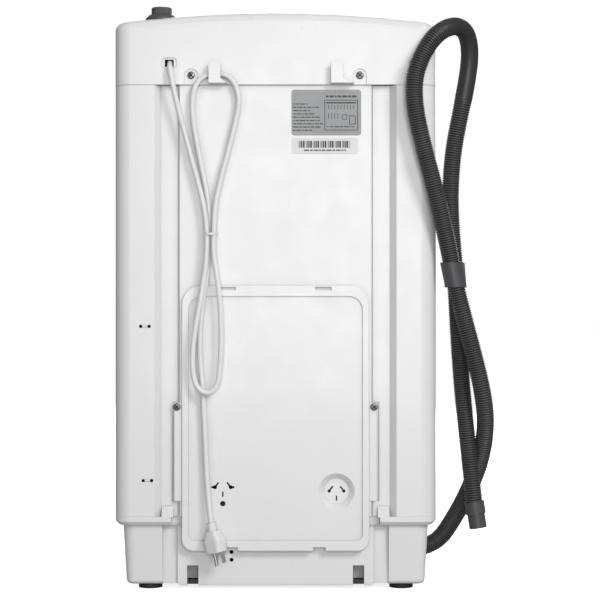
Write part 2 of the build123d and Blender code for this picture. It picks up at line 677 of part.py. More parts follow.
def hose_saddle():
    """Shallow saddle on the rear of the top cover that the hose rests against."""
    x, y, z = -191.0, 231.0, 704.0
    saddle = Pos(x, y, z) * Rot(0, 26, 0) * Cylinder(HOSE_D / 2 + 3.0, 20)
    saddle -= Pos(x, y, z) * Rot(0, 26, 0) * Cylinder(HOSE_D / 2 + 0.6, 40)
    saddle &= block((x - 30, x + 30), (REAR_Y, REAR_Y + HOOK_REACH), (z - 30, z + 30))
    return saddle + block((x - 5, x + 5), (REAR_Y, REAR_Y + 9.0), (z - 6, z + 6))


# ---- mains lead -------------------------------------------------------------
def cord_clamp():
    """Strain relief inside the top cover, where the lead comes out."""
    start = Vector(*CORD_ROUTE[0])
    aim = (Vector(*CORD_ROUTE[1]) - start).normalized()
    place = Plane(start, z_dir=aim * -1)
    tail = place * Cone(CORD_D / 2 + 0.8, CORD_D / 2 + 3.5, 24.0, align=MIN_UP)
    return tail + block((130.0, 154.0), (168.0, 174.0), (704.0, 724.0))


def power_cord():
    """The mains lead as a plain tube."""
    return route_tube("power_cord", CORD_ROUTE, CORD_D)


def plug_place():
    """Plane at the top of the plug, z pointing down towards the pins. The plug
    is turned a third of a right angle about its own axis."""
    return Plane(Vector(*CORD_ROUTE[-1]), x_dir=(0.803, -0.574, -0.175), z_dir=(-0.2, 0.02, -0.98))


def plug_body():
    """Moulded plug: round collar, then a body that widens to the pin face."""
    place = plug_place()
    collar = place * Cylinder(6.0, 12.0, align=MIN_UP)
    throat = Pos(0, 0, 11.0) * RectangleRounded(16, 14, 5)
    shoulder = Pos(0, 0, 24.0) * RectangleRounded(27, 20, 6)
    face = Pos(0, 0, 39.0) * RectangleRounded(25, 20, 6)
    body = loft([throat, shoulder]) + loft([shoulder, face])
    return collar + place * body


def plug_pins():
    """Two flat blades and a round earth pin."""
    place = plug_place()
    blades = [Pos(x, 3.0, 39.0) * Box(1.5, 6.3, 16.0, align=MIN_UP) for x in (6.35, -6.35)]
    earth = Pos(0, -5.5, 39.0) * Cylinder(2.4, 18.0, align=MIN_UP)
    return [place * pin for pin in (*blades, earth)]


def cord_tie():
    """Wire tie round the three strands of the lead."""
    outer = Pos(86.3, 216.3, 475.5) * extrude(Ellipse(9.6, 9.2), 3.0)
    return outer - Pos(86.3, 216.3, 475.0) * extrude(Ellipse(8.7, 8.3), 4.0)


# ---- labels and screws -----------------------------------------------------
def rear_labels():
    """Grey rating plate, and the small paper label under it."""
    plate = in_rear_plane(Pos(-68.0, 640.0) * RectangleRounded(93, 61, 4), PANEL_Y + 0.4, 0.4)
    paper = in_rear_plane(Pos(-66.0, 595.5) * RectangleRounded(88, 21, 1.5), PANEL_Y + 0.3, 0.3)
    return [plate, paper]


def rear_screw(x, z, y):
    """Pan-head screw with a cross recess."""
    head = rod_y(x, (y, y + 2.6), z, 5.0)
    shank = rod_y(x, (y - 8, y), z, 2.2)
    cross = block((x - 3, x + 3), (y + 1.6, y + 3), (z - 0.6, z + 0.6))
    cross += block((x - 0.6, x + 0.6), (y + 1.6, y + 3), (z - 3, z + 3))
    return head + shank - cross


def rear_screws():
    """Two in the top cover, two in the service cover."""
    places = [(112.8, 689.5, REAR_Y - 1.2), (-112.8, 689.5, REAR_Y - 1.2)]
    places += [(side * SCREW_X, SCREW_Z, PANEL_Y + 1.5) for side in (1, -1)]
    return [rear_screw(*p) for p in places]


# ---- suspension -------------------------------------------------------------
def rod_places():
    """The four corners where the tub hangs."""
    return [(sx * ROD_X, TUB_Y + sy * ROD_DY) for sx in (1, -1) for sy in (1, -1)]


def suspension_rod(x, y):
    """Rod with a head at the top and a spring seat at the bottom."""
    rod = post(x, y, (231.0, 660.0), 3.0)
    rod += post(x, y, (654.0, 660.0), 8.0)
    return rod + post(x, y, (231.0, 235.0), 10.0)


def suspension_brackets():
    """Corner shelves in the cabinet that carry the rods."""
    y = (CABINET_FRONT_Y + SHEET, CHANNEL_Y - 2.5)
    room = plan_prism(HALF - SHEET, y, (640.0, 660.0), CORNER_R - SHEET)
    shelves = []
    for x, rod_y_place in rod_places():
        shelf_x = sorted((math.copysign(150.0, x), math.copysign(HALF - SHEET, x)))
        inward = rod_y_place - math.copysign(18.0, rod_y_place)
        wall = y[1] if rod_y_place > 0 else y[0]
        shelf = block(shelf_x, sorted((inward, wall)), (650.0, 654.0))
        shelves.append((shelf & room) - post(x, rod_y_place, (640, 660), 3.2))
    return shelves


def damper_cup(x, y):
    """Cup under the tub's lug, open below, with the spring inside."""
    cup = post(x, y, (250.0, 290.0), 14.0) - post(x, y, (249.0, 286.0), 11.5)
    return cup - post(x, y, (280.0, 295.0), 3.0 + FIT)


def suspension_spring(x, y):
    """Coil spring between the rod's seat and the cup's ceiling."""
    path = Pos(x, y, 236.2) * Helix(pitch=8.0, height=48.4, radius=8.0)
    section = Plane(path @ 0, z_dir=path % 0) * Circle(1.1)
    return sweep(section, path=path, is_frenet=True)


# ---- tub and drive ----------------------------------------------------------
def outer_tub():
    """Plastic tub with four lugs, open at the top."""
    tub = post(0, TUB_Y, TUB_Z, TUB_R)
    tub -= post(0, TUB_Y, (TUB_Z[0] + 6, TUB_Z[1] + 1), TUB_R - PLASTIC)
    tub -= post(0, TUB_Y, (TUB_Z[0] - 1, TUB_Z[0] + 7), 16.0)
    for x, y in rod_places():
        angle = math.degrees(math.atan2(y - TUB_Y, x))
        reach = math.hypot(x, y - TUB_Y)
        arm = block((TUB_R - 2, reach - 2), (-9, 9), (290.0, 300.0))
        rib = block((TUB_R - 2, TUB_R + 22), (-3, 3), (262.0, 290.0))
        tub += Pos(0, TUB_Y, 0) * Rot(0, 0, angle) * (arm + rib)
        tub += post(x, y, (290.0, 300.0), 14.0)
        tub -= post(x, y, (285.0, 305.0), 3.0 + FIT)
    return tub


def tub_ring():
    """Ring that closes the gap above the tub wall."""
    ring = pipe(0, TUB_Y, (TUB_Z[1], TUB_Z[1] + 4), TUB_R + 4, 151.0)
    ring += pipe(0, TUB_Y, (TUB_Z[1], TUB_Z[1] + 12), 154.0, 151.0)
    return ring + pipe(0, TUB_Y, (TUB_Z[1] - 10, TUB_Z[1]), TUB_R + 4, TUB_R + 0.1)


def spin_basket():
    """Steel basket with a dished floor and a driving hub."""
    basket = post(0, TUB_Y, BASKET_Z, BASKET_R)
    basket -= post(0, TUB_Y, (BASKET_Z[0] + 4, BASKET_Z[1] + 1), BASKET_R - 1.5)
    basket += post(0, TUB_Y, (230.0, BASKET_Z[0]), 34.0)
    return basket - post(0, TUB_Y, (220.0, 250.0), 13.0)


def balance_ring():
    """Hollow ring, partly filled with brine, on top of the basket."""
    return pipe(0, TUB_Y, RING_Z, BASKET_R + 2, BASKET_R - 20)


def spin_tube():
    """Hollow shaft that turns the basket."""
    return pipe(0, TUB_Y, (196.0, 244.0), 13.0, 8.0)


def lint_filter():
    """Removable lint trap on the basket wall."""
    wall_y = TUB_Y + BASKET_R
    return block((-26.0, 26.0), (wall_y - 20, wall_y - 8), (420.0, 540.0))


def pulsator():
    """Wash plate: shallow cone with six vanes and a centre boss."""
    disc = Pos(0, TUB_Y, 251.0) * Cone(PULSATOR_R, 60.0, 12.0)
    disc += post(0, TUB_Y, (245.0, 268.0), 30.0)
    for k in range(6):
        vane = Pos(0, TUB_Y, 0) * Rot(0, 0, 60 * k) * block((20, 108), (-5, 5), (246.0, 264.0))
        disc += vane
    return disc - post(0, TUB_Y, (240.0, 262.0), 7.0)


def pulsator_screw():
    """Cap screw that holds the wash plate to its shaft."""
    return post(0, TUB_Y, (268.0, 272.0), 10.0)


def drive_shaft():
    """Solid shaft from the drive pulley up to the wash plate."""
    return post(0, TUB_Y, (104.0, 262.0), 7.0)


def grooved_pulley(x, y, r, bore):
    """Pulley with two rims and a flat belt seat."""
    pulley = post(x, y, PULLEY_Z, r - BELT_T)
    pulley += post(x, y, (PULLEY_Z[0], PULLEY_Z[0] + 2), r)
    pulley += post(x, y, (PULLEY_Z[1] - 2, PULLEY_Z[1]), r)
    return pulley - post(x, y, (PULLEY_Z[0] - 5, PULLEY_Z[1] + 5), bore)


def drive_pulley():
    """Large pulley on the drive shaft, with lightening holes."""
    pulley = grooved_pulley(0, TUB_Y, BIG_PULLEY_R, 7.0)
    for k in range(6):
        angle = math.radians(60 * k)
        x, y = 38 * math.cos(angle), TUB_Y + 38 * math.sin(angle)
        pulley -= post(x, y, (100, 130), 11.0)
    return pulley


def motor_pulley():
    """Small pulley and the motor's shaft."""
    pulley = grooved_pulley(MOTOR_X, TUB_Y, SMALL_PULLEY_R, 5.0)
    return pulley + post(MOTOR_X, TUB_Y, (104.0, 132.0), 5.0)


def drive_belt():
    """Flat belt round both pulleys."""
    z = (PULLEY_Z[0] + 2 + FIT, PULLEY_Z[1] - 2 - FIT)

    def loop(extra):
        """Solid bounded by the belt run at one thickness."""
        big = BIG_PULLEY_R - BELT_T + FIT + extra
        small = SMALL_PULLEY_R - BELT_T + FIT + extra
        lean = math.asin((big - small) / MOTOR_X)
        side = [(big * math.sin(lean), big * math.cos(lean))]
        side.append((MOTOR_X + small * math.sin(lean), small * math.cos(lean)))
        outline = side + [(x, -y) for x, y in reversed(side)]
        face = make_face(Polyline(*outline, close=True))
        web = Pos(0, TUB_Y, z[0]) * extrude(face, z[1] - z[0])
        return web + post(0, TUB_Y, z, big) + post(MOTOR_X, TUB_Y, z, small)

    return loop(BELT_T - 0.5) - loop(0.0)


def clutch_housing():
    """Gear and clutch case under the tub."""
    case = post(0, TUB_Y, (130.0, 196.0), 42.0)
    case += post(0, TUB_Y, (196.0, 215.0), 50.0)
    case -= post(0, TUB_Y, (120.0, 197.0), 7.0 + 0.05)
    return case - post(0, TUB_Y, (195.0, 216.0), 18.0)


def shaft_bearing():
    """Ball bearing, shown as its outer ring, round the spin tube."""
    return pipe(0, TUB_Y, (200.0, 214.0), 18.0, 13.05)


def motor():
    """Induction motor with cooling ribs, bolted under the tub."""
    body = post(MOTOR_X, TUB_Y, (132.0, 200.0), 46.0)
    body -= post(MOTOR_X, TUB_Y, (130.0, 133.0), 5.0 + FIT)
    body += block((MOTOR_X - 50, MOTOR_X + 50), (TUB_Y - 14, TUB_Y + 14), (200.0, 215.0))
    for k in range(24):
        rib = Pos(MOTOR_X, TUB_Y, 0) * Rot(0, 0, 15 * k) * block((44, 48.5), (-1, 1), (140.0, 192.0))
        body += rib
    return body


# ---- electrics ---------------------------------------------------------------
def run_capacitor():
    """Motor capacitor clipped to the cabinet wall."""
    clip = block((196.0, HALF - SHEET), (-20, 20), (146, 154))
    return rod_y(196.0, (-40.0, 40.0), 150.0, 17.0) + clip


def pressure_switch():
    """Water level switch on the cabinet wall."""
    switch = rod_x((196.0, HALF - SHEET), -100.0, 655.0, 16.0)
    return switch + rod_x((188.0, 196.0), -100.0, 655.0, 4.0)


# ---- writing -----------------------------------------------------------------
PARTS = {
    "cabinet_shell": cabinet_shell,
    "rear_panel": rear_panel,
    "rear_service_cover": rear_service_cover,
    "base_frame": base_frame,
    "bottom_plate": bottom_plate,
    "rubber_feet": rubber_feet,
    "leveling_foot": leveling_foot,
    "top_cover": top_cover,
    "lid_tray": lid_tray,
    "splash_collar": splash_collar,
    "lid_frame": lid_frame,
    "lid_window": lid_window,
    "hinge_pins": hinge_pins,
    "control_panel": control_panel,
    "display_window": display_window,
    "control_board": control_board,
    "lid_switch": lid_switch,
    "inlet_spigot": inlet_spigot,
    "inlet_valve": inlet_valve,
    "water_spout": water_spout,
    "drain_valve": drain_valve,
    "sump_hose": sump_hose,
    "drain_outlet": drain_outlet,
    "drain_hose": drain_hose,
    "hose_clip": hose_clip,
    "hose_nozzle": hose_nozzle,
    "rear_hooks": rear_hooks,
    "cord_clamp": cord_clamp,
    "power_cord": power_cord,
    "plug_body": plug_body,
    "plug_pins": plug_pins,
    "cord_tie": cord_tie,
    "rear_labels": rear_labels,
    "rear_screws": rear_screws,
    "suspension_rods": lambda: [suspension_rod(*p) for p in rod_places()],
    "suspension_brackets": suspension_brackets,
    "damper_cups": lambda: [damper_cup(*p) for p in rod_places()],
    "suspension_springs": lambda: [suspension_spring(*p) for p in rod_places()],
    "outer_tub": outer_tub,
    "tub_ring": tub_ring,
    "spin_basket": spin_basket,
    "balance_ring": balance_ring,
    "spin_tube": spin_tube,
    "lint_filter": lint_filter,
    "pulsator": pulsator,
    "pulsator_screw": pulsator_screw,
    "drive_shaft": drive_shaft,
    "drive_pulley": drive_pulley,
    "motor_pulley": motor_pulley,
    "drive_belt": drive_belt,
    "clutch_housing": clutch_housing,
    "shaft_bearing": shaft_bearing,
    "motor": motor,
    "run_capacitor": run_capacitor,
    "pressure_switch": pressure_switch,
}
for button_name, button_x in zip(BUTTON_NAMES, BUTTON_XS):
    PARTS[button_name] = lambda x=button_x: push_button(x)


def main():
    """Build every node and write one STEP file each."""
    os.makedirs("parts", exist_ok=True)
    for name, maker in PARTS.items():
        shape = maker()
        if isinstance(shape, list):
            shape = Compound(children=shape)
        export_step(shape, f"parts/{name}.step")


main()
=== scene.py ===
import json
import math

import bmesh
import bpy
from mathutils import Matrix, Vector


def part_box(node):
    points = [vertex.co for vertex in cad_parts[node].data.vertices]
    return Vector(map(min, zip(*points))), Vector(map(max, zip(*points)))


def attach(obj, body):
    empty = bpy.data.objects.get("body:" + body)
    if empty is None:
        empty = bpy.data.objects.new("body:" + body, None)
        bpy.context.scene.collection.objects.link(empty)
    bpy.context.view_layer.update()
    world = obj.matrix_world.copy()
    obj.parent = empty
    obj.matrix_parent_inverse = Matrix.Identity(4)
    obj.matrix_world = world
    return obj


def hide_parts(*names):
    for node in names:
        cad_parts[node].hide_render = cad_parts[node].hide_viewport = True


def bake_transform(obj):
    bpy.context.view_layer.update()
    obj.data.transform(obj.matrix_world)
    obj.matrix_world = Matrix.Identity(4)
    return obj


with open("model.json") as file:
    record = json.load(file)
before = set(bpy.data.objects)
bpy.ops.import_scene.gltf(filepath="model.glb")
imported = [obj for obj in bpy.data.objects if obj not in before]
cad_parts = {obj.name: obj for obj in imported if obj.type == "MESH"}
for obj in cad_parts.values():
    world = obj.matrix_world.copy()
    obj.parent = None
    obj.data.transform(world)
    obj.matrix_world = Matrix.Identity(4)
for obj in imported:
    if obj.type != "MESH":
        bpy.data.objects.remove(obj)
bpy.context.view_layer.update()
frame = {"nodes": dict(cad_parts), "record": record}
NODES = frame["nodes"]
SLOT_OF = {s["node"]: s["material_slot"] for s in frame["record"]["subparts"]}
MM = 0.001

# ---- driving sizes, in metres unless a name says mm ------------------------
CAMERA_DISTANCE = 2.2        # from the rear face to the camera
FRAME_WIDTH = 0.802          # what the picture spans at the rear face
LOOK_AT = (-0.0328, 0.208, 0.389)

CORD_D = 0.0072
HOSE_D = 0.024
HOSE_RIB_PITCH = 0.0032
HOSE_RIB_DEPTH = 0.0016
HOSE_SMOOTH_Z = (0.752, 0.665)   # no ribs above these, on the way up and down
HOSE_FADE = 0.02             # the ribs die out over this height
SMOOTH_RIDGE = 0.42          # ridge value where the hose is smooth, which sets its painted shade there

BASKET_SHIFT = 0.008         # the tub's upright axis is this far in front of the middle
BASKET_RADIUS = 0.158
BASKET_HOLE_PITCH = 0.012
BASKET_HOLE_RADIUS = 0.0024
SPRING_X = 0.170             # the tub hangs on four rods at these distances
SPRING_DY = 0.165
SPRING_WIRE = 0.0011         # radius of the wire
SPRING_TURNS = 6.5
BELLOWS_CUFF = 0.006
BELLOWS_FOLDS = 7
PULSATOR_RADIUS = 0.120
PULSATOR_VANES = 6
PULSATOR_BOSS = 0.031        # radius of the raised middle

SCREW_TOP_X = 0.1128         # the top pair of rear screws, from the middle
SCREW_LOW_X = 0.132          # the pair beside the service cover
INLET_RIBS = 30
INLET_RIB_DEPTH = 0.0009
NOTCH_X = 0.1115             # middle of each notch in the skirt
NOTCH_Z = 0.0244
NOTCH_WALL_Y = 0.1806        # the wall behind the notches
NOTCH_SHADE = (0.0244, 0.0218)    # width and height of the painted shade patch

SLOPE_DOWN = Vector((0, -0.7363, -0.6766))     # down the control slope
SLOPE_OUT = Vector((0, -0.6766, 0.7363))       # out of it
BUTTONS = ("power_button", "level_button", "function_button", "program_button", "start_button")
CAP_ABOVE = 0.0045           # a button's height out of the slope, and its depth below it
CAP_BELOW = 0.0065

PRINT = 0.00012              # thickness of printed film
WORD_SHORTEST = 0.0024       # words of small print grow from this in five steps
WORD_STEP = 0.0012
WORD_GAP = 0.0012
PLATE_LINE_PITCH = 0.0044
PLATE_LINES = (0.020, 0.036, 0.025, 0.029, 0.037, 0.036, 0.040, 0.040, 0.026)   # lengths
TICK_PITCH = 0.0042          # short strokes in the plate's diagram
PAPER_SIZE = (0.0878, 0.0208)
CODE_BAR = 0.0006            # the bar code's narrowest bar

REARWARD = (0, 1, 0)         # out of the rear face
FRONTWARD = (0, -1, 0)
RIGHT_FROM_BEHIND = (-1, 0, 0)

# control points of the two routes, from where each leaves the machine
CORD_POINTS_MM = [
    (142, 194, 709.5), (141.5, 215, 702.5), (137.5, 221.5, 682), (132.5, 219, 657),
    (124.5, 217, 625), (114, 216, 586), (103, 216, 546), (93.5, 217.5, 508),
    (90.5, 219.5, 474), (92, 220.5, 437), (98.5, 222.5, 394), (106.5, 223, 352),
    (110.5, 223, 316), (109.5, 223, 292), (105, 223, 273), (91, 223, 263.5),
    (77, 223, 272), (73.5, 223, 298), (71.5, 223, 333), (72.5, 222.5, 378),
    (77, 221.5, 418), (82.5, 220.5, 452), (82, 219.5, 480), (80.5, 216.5, 514),
    (74, 215, 546), (64, 214, 583), (54, 213.5, 623), (48, 213, 651),
    (51, 212.8, 673), (62, 212.6, 688), (80, 212.5, 692), (98, 212.6, 687),
    (109, 212.8, 672), (111.5, 213, 645), (106.5, 213, 605), (97.5, 212.5, 562),
    (89.5, 212, 520), (86.5, 212, 480), (89, 212.8, 440), (96, 214.6, 394),
    (101, 215, 352), (100.5, 215, 309), (96.5, 215, 266), (94, 215, 216),
    (92, 216, 163), (88.5, 219, 118), (85.5, 222, 93),
]
HOSE_POINTS_MM = [
    (-206, 92, 42), (-226, 97, 49), (-246, 118, 84), (-264, 142, 124),
    (-279, 170, 172), (-284, 190, 221), (-278, 201, 266), (-266, 205, 314),
    (-252, 206, 366), (-240, 206, 412), (-232, 210, 454), (-221, 219, 500),
    (-209, 228, 546), (-196, 232, 592), (-185, 232.5, 640), (-183, 231, 676),
    (-190, 230.5, 704), (-204, 229, 730), (-221, 222, 748), (-242, 207, 757),
    (-258, 189, 750), (-264, 177, 722), (-259, 172, 682), (-250, 170, 638),
    (-241, 170, 592), (-237, 170, 540), (-238, 171, 492), (-242, 173, 444),
    (-245, 174, 396), (-248, 173, 340), (-252, 173, 280), (-257, 176, 226),
    (-262, 180, 176), (-266, 182, 138), (-268, 183, 117),
]


# ---- camera ------------------------------------------------------------------
def make_camera():
    """Level camera behind the machine, as the rear is what is shown."""
    data = bpy.data.cameras.new("camera")
    cam = bpy.data.objects.new("camera", data)
    bpy.context.collection.objects.link(cam)
    cam.location = (LOOK_AT[0], LOOK_AT[1] + CAMERA_DISTANCE, LOOK_AT[2])
    cam.rotation_euler = (math.radians(90), 0, math.radians(180))
    data.sensor_width = 36.0
    data.lens = data.sensor_width * CAMERA_DISTANCE / FRAME_WIDTH
    bpy.context.scene.camera = cam


# ---- mesh helpers --------------------------------------------------------------
def mesh_object(name, bm, smooth=True):
    """Object from a bmesh."""
    bmesh.ops.recalc_face_normals(bm, faces=bm.faces)
    mesh = bpy.data.meshes.new(name)
    bm.to_mesh(mesh)
    bm.free()
    for polygon in mesh.polygons:
        polygon.use_smooth = smooth
    obj = bpy.data.objects.new(name, mesh)
    bpy.context.collection.objects.link(obj)
    return obj


def route_curve(name, points_mm, bevel):
    """Smooth NURBS curve with a route's points as its control points."""
    curve = bpy.data.curves.new(name, "CURVE")
    curve.dimensions = "3D"
    spline = curve.splines.new("NURBS")
    spline.points.add(len(points_mm) - 1)
    for point, (x, y, z) in zip(spline.points, points_mm):
        point.co = (x * MM, y * MM, z * MM, 1.0)
    spline.order_u = 3
    spline.use_endpoint_u = True
    spline.resolution_u = 10
    curve.bevel_depth = bevel
    curve.bevel_resolution = 6
    curve.use_fill_caps = True
    obj = bpy.data.objects.new(name, curve)
    bpy.context.collection.objects.link(obj)
    return obj


def spline_points(points_mm):
    """Points that the route's NURBS spline passes through."""
    ghost = route_curve("route_reader", points_mm, 0.0)
    bpy.context.view_layer.update()
    mesh = bpy.data.meshes.new_from_object(ghost)
    points = [v.co.copy() for v in mesh.vertices]
    bpy.data.objects.remove(ghost)
    return points


def path_frames(points, step):
    """Evenly spaced (place, ahead, side, other) along a line of points."""
    steps = [(b - a).length for a, b in zip(points, points[1:])]
    total = sum(steps)
    count = max(2, int(total / step))
    places = []
    index = 0
    passed = 0.0
    for k in range(count + 1):
        want = total * k / count
        while index < len(steps) - 1 and passed + steps[index] < want:
            passed += steps[index]
            index += 1
        share = min(1.0, (want - passed) / steps[index])
        places.append(points[index].lerp(points[index + 1], share))
    frames = []
    side = Vector((0, 0, 1)).orthogonal()
    for k, place in enumerate(places):
        ahead = places[min(k + 1, count)] - places[max(k - 1, 0)]
        ahead.normalize()
        side = (side - ahead * side.dot(ahead)).normalized()
        frames.append((place, ahead, side, ahead.cross(side)))
    return frames


def bridge(bm, rings):
    """Quads between each ring of vertices and the next."""
    for a, b in zip(rings, rings[1:]):
        for j in range(len(a)):
            k = (j + 1) % len(a)
            bm.faces.new((a[j], a[k], b[k], b[j]))


def ring_tube(name, frames, radii, around):
    """Closed mesh tube: one ring per frame, with the given radii."""
    bm = bmesh.new()
    rings = []
    for (place, _, side, other), radius in zip(frames, radii):
        ring = []
        for j in range(around):
            angle = 2 * math.pi * j / around
            offset = side * math.cos(angle) + other * math.sin(angle)
            ring.append(bm.verts.new(place + offset * radius))
        rings.append(ring)
    bridge(bm, rings)
    bm.faces.new(list(reversed(rings[0])))
    bm.faces.new(rings[-1])
    return mesh_object(name, bm)


def turned(name, profile, place, around, ribs=0, rib_depth=0.0, rib_band=(0, 0)):
    """Closed solid of revolution: profile is (radius, height) pairs, in metres,
    from the axis at one end to the axis at the other. ribs cuts that many
    upright grooves into the profile points whose index lies in rib_band."""
    bm = bmesh.new()
    rings = []
    for i, (radius, height) in enumerate(profile):
        if radius == 0:
            rings.append([bm.verts.new(place @ Vector((0, 0, height)))])
            continue
        ribbed = rib_band[0] <= i <= rib_band[1]
        ring = []
        for j in range(around):
            angle = 2 * math.pi * j / around
            groove = (0.5 - 0.5 * math.cos(angle * ribs)) ** 2 if ribbed else 0.0
            r = radius - rib_depth * groove
            spot = Vector((r * math.cos(angle), r * math.sin(angle), height))
            ring.append(bm.verts.new(place @ spot))
        rings.append(ring)
    for a, b in zip(rings, rings[1:]):
        for j in range(around):
            k = (j + 1) % around
            if len(a) == 1 and len(b) == 1:
                continue
            if len(a) == 1:
                bm.faces.new((a[0], b[j], b[k]))
            elif len(b) == 1:
                bm.faces.new((a[j], a[k], b[0]))
            else:
                bm.faces.new((a[j], a[k], b[k], b[j]))
    return mesh_object(name, bm)


def soft_edges(obj, width, segments):
    """Rounded edges on a mesh piece."""
    bevel = obj.modifiers.new("bevel", "BEVEL")
    bevel.width = width
    bevel.segments = segments
    bevel.limit_method = "ANGLE"
    bevel.angle_limit = math.radians(30)
    bevel.harden_normals = True
    return obj


def slab(bm, corners, thickness, normal):
    """Closed thin plate over a loop of corners, standing off along normal."""
    low = [bm.verts.new(c) for c in corners]
    high = [bm.verts.new(c + normal * thickness) for c in corners]
    bm.faces.new(list(reversed(low)))
    bm.faces.new(high)
    for i in range(len(low)):
        j = (i + 1) % len(low)
        bm.faces.new((low[i], low[j], high[j], high[i]))


def piece(obj, body, slot, *nodes):
    """Attach a finished piece to its body and hide the nodes it stands for; its slot (finish) is
    not used.
    """
    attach(obj, body)
    if nodes:
        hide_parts(*nodes)
    return obj


def axis_frame(start, aim, side):
    """Matrix whose z is aim and whose x is as near to side as it can be."""
    z = Vector(aim).normalized()
    x = Vector(side)
    x = (x - z * x.dot(z)).normalized()
    y = z.cross(x)
    matrix = Matrix((x, y, z)).transposed().to_4x4()
    matrix.translation = start
    return matrix


# ---- material helpers ------------------------------------------------------------
def node_material(name):
    """New node material with its tree and main shader."""
    material = bpy.data.materials.new(name)
    material.use_nodes = True
    tree = material.node_tree
    return material, tree, tree.nodes["Principled BSDF"]


def space(tree, scale=(1, 1, 1)):
    """Object coordinates in metres, stretched by scale."""
    coords = tree.nodes.new("ShaderNodeTexCoord").outputs["Object"]
    mapping = tree.nodes.new("ShaderNodeMapping")
    mapping.inputs["Scale"].default_value = scale
    tree.links.new(coords, mapping.inputs["Vector"])
    return mapping.outputs["Vector"]


def noise(tree, where, scale, detail=3.0, roughness=0.5):
    """Noise value."""
    node = tree.nodes.new("ShaderNodeTexNoise")
    node.inputs["Scale"].default_value = scale
    node.inputs["Detail"].default_value = detail
    node.inputs["Roughness"].default_value = roughness
    tree.links.new(where, node.inputs["Vector"])
    return node.outputs["Fac"]


def remap(tree, value, low, high, source=(0.3, 0.7)):
    """Value moved from the source range to low..high."""
    node = tree.nodes.new("ShaderNodeMapRange")
    node.inputs["From Min"].default_value = source[0]
    node.inputs["From Max"].default_value = source[1]
    node.inputs["To Min"].default_value = low
    node.inputs["To Max"].default_value = high
    tree.links.new(value, node.inputs["Value"])
    return node.outputs["Result"]


def blend_colours(tree, value, dark, light):
    """Colour between dark and light by a noise value."""
    ramp = tree.nodes.new("ShaderNodeValToRGB")
    ramp.color_ramp.elements[0].position = 0.3
    ramp.color_ramp.elements[1].position = 0.7
    ramp.color_ramp.elements[0].color = (*dark, 1)
    ramp.color_ramp.elements[1].color = (*light, 1)
    tree.links.new(value, ramp.inputs["Fac"])
    return ramp.outputs["Color"]


def multiply(tree, colour, factor, share=1.0):
    """Colour multiplied by another, with a given share."""
    node = tree.nodes.new("ShaderNodeMix")
    node.data_type = "RGBA"
    node.blend_type = "MULTIPLY"
    node.inputs["Factor"].default_value = share
    tree.links.new(colour, node.inputs["A"])
    tree.links.new(factor, node.inputs["B"])
    return node.outputs["Result"]


def bump(tree, value, strength, distance, under=None):
    """Bump normal from a value, on top of another normal."""
    node = tree.nodes.new("ShaderNodeBump")
    node.inputs["Strength"].default_value = strength
    node.inputs["Distance"].default_value = distance
    tree.links.new(value, node.inputs["Height"])
    if under is not None:
        tree.links.new(under, node.inputs["Normal"])
    return node.outputs["Normal"]


def rounded_normal(tree, radius):
    """Normal that rounds sharp edges of a moulding."""
    node = tree.nodes.new("ShaderNodeBevel")
    node.samples = 4
    node.inputs["Radius"].default_value = radius
    return node.outputs["Normal"]


def painted_corner_shade(tree, distance):
    """Grey value that is dark in narrow corners: painted shade from ambient occlusion."""
    node = tree.nodes.new("ShaderNodeAmbientOcclusion")
    node.samples = 8
    node.inputs["Distance"].default_value = distance
    return node.outputs["Color"]


def moulded(name, dark, light, gloss, grain, edge=0.0, corner_shade=0.0, stretch=(1, 1, 1),
            cloud=9.0, coat=0.0, metallic=0.0):
    """Material with mottled colour, uneven gloss, fine grain, and if asked
    rounded edges and painted shade in corners. gloss is the (low, high) roughness, grain
    the (scale, strength, depth) of the bump and cloud the scale of the mottle. The corner
    darkening is painted shade from ambient occlusion."""
    material, tree, shader = node_material(name)
    where = space(tree, stretch)
    colour = blend_colours(tree, noise(tree, where, cloud, 5), dark, light)
    # painted shade: ambient occlusion darkens the colour in narrow corners
    if corner_shade:
        colour = multiply(tree, colour, painted_corner_shade(tree, 0.012), corner_shade)
    tree.links.new(colour, shader.inputs["Base Color"])
    patchy = noise(tree, where, cloud * 4, 6, 0.6)
    tree.links.new(remap(tree, patchy, *gloss), shader.inputs["Roughness"])
    under = rounded_normal(tree, edge) if edge else None
    broad = bump(tree, noise(tree, where, grain[0] * 0.12, 2), grain[1] * 0.5,
                 grain[2] * 2, under)
    fine = bump(tree, noise(tree, where, grain[0], 3), grain[1], grain[2], broad)
    tree.links.new(fine, shader.inputs["Normal"])
    shader.inputs["Metallic"].default_value = metallic
    shader.inputs["Coat Weight"].default_value = coat
    shader.inputs["Coat Roughness"].default_value = 0.12
    return material


def clear_material(name, tint, roughness):
    """Clear moulding: tinted, with faint uneven gloss and flow marks."""
    material, tree, shader = node_material(name)
    where = space(tree)
    colour = blend_colours(tree, noise(tree, where, 6, 2), tint,
                           [min(1.0, c * 1.04) for c in tint])
    tree.links.new(colour, shader.inputs["Base Color"])
    haze = remap(tree, noise(tree, where, 40, 5), roughness, roughness + 0.05)
    tree.links.new(haze, shader.inputs["Roughness"])
    shader.inputs["Transmission Weight"].default_value = 1.0
    shader.inputs["IOR"].default_value = 1.49
    ripple = bump(tree, noise(tree, where, 14, 2), 0.12, 0.0004)
    tree.links.new(ripple, shader.inputs["Normal"])
    return material


def calculate(tree, operation, first, second=0.0):
    """Sum on one or two values; each is a socket or a plain number."""
    node = tree.nodes.new("ShaderNodeMath")
    node.operation = operation
    for socket, value in zip(node.inputs, (first, second)):
        if isinstance(value, (int, float)):
            socket.default_value = value
        else:
            tree.links.new(value, socket)
    return node.outputs["Value"]


def darken(material, shade):
    """Multiply a material's colour by a value."""
    tree = material.node_tree
    shader = tree.nodes["Principled BSDF"]
    old = shader.inputs["Base Color"].links[0].from_socket
    tree.links.new(multiply(tree, old, shade), shader.inputs["Base Color"])


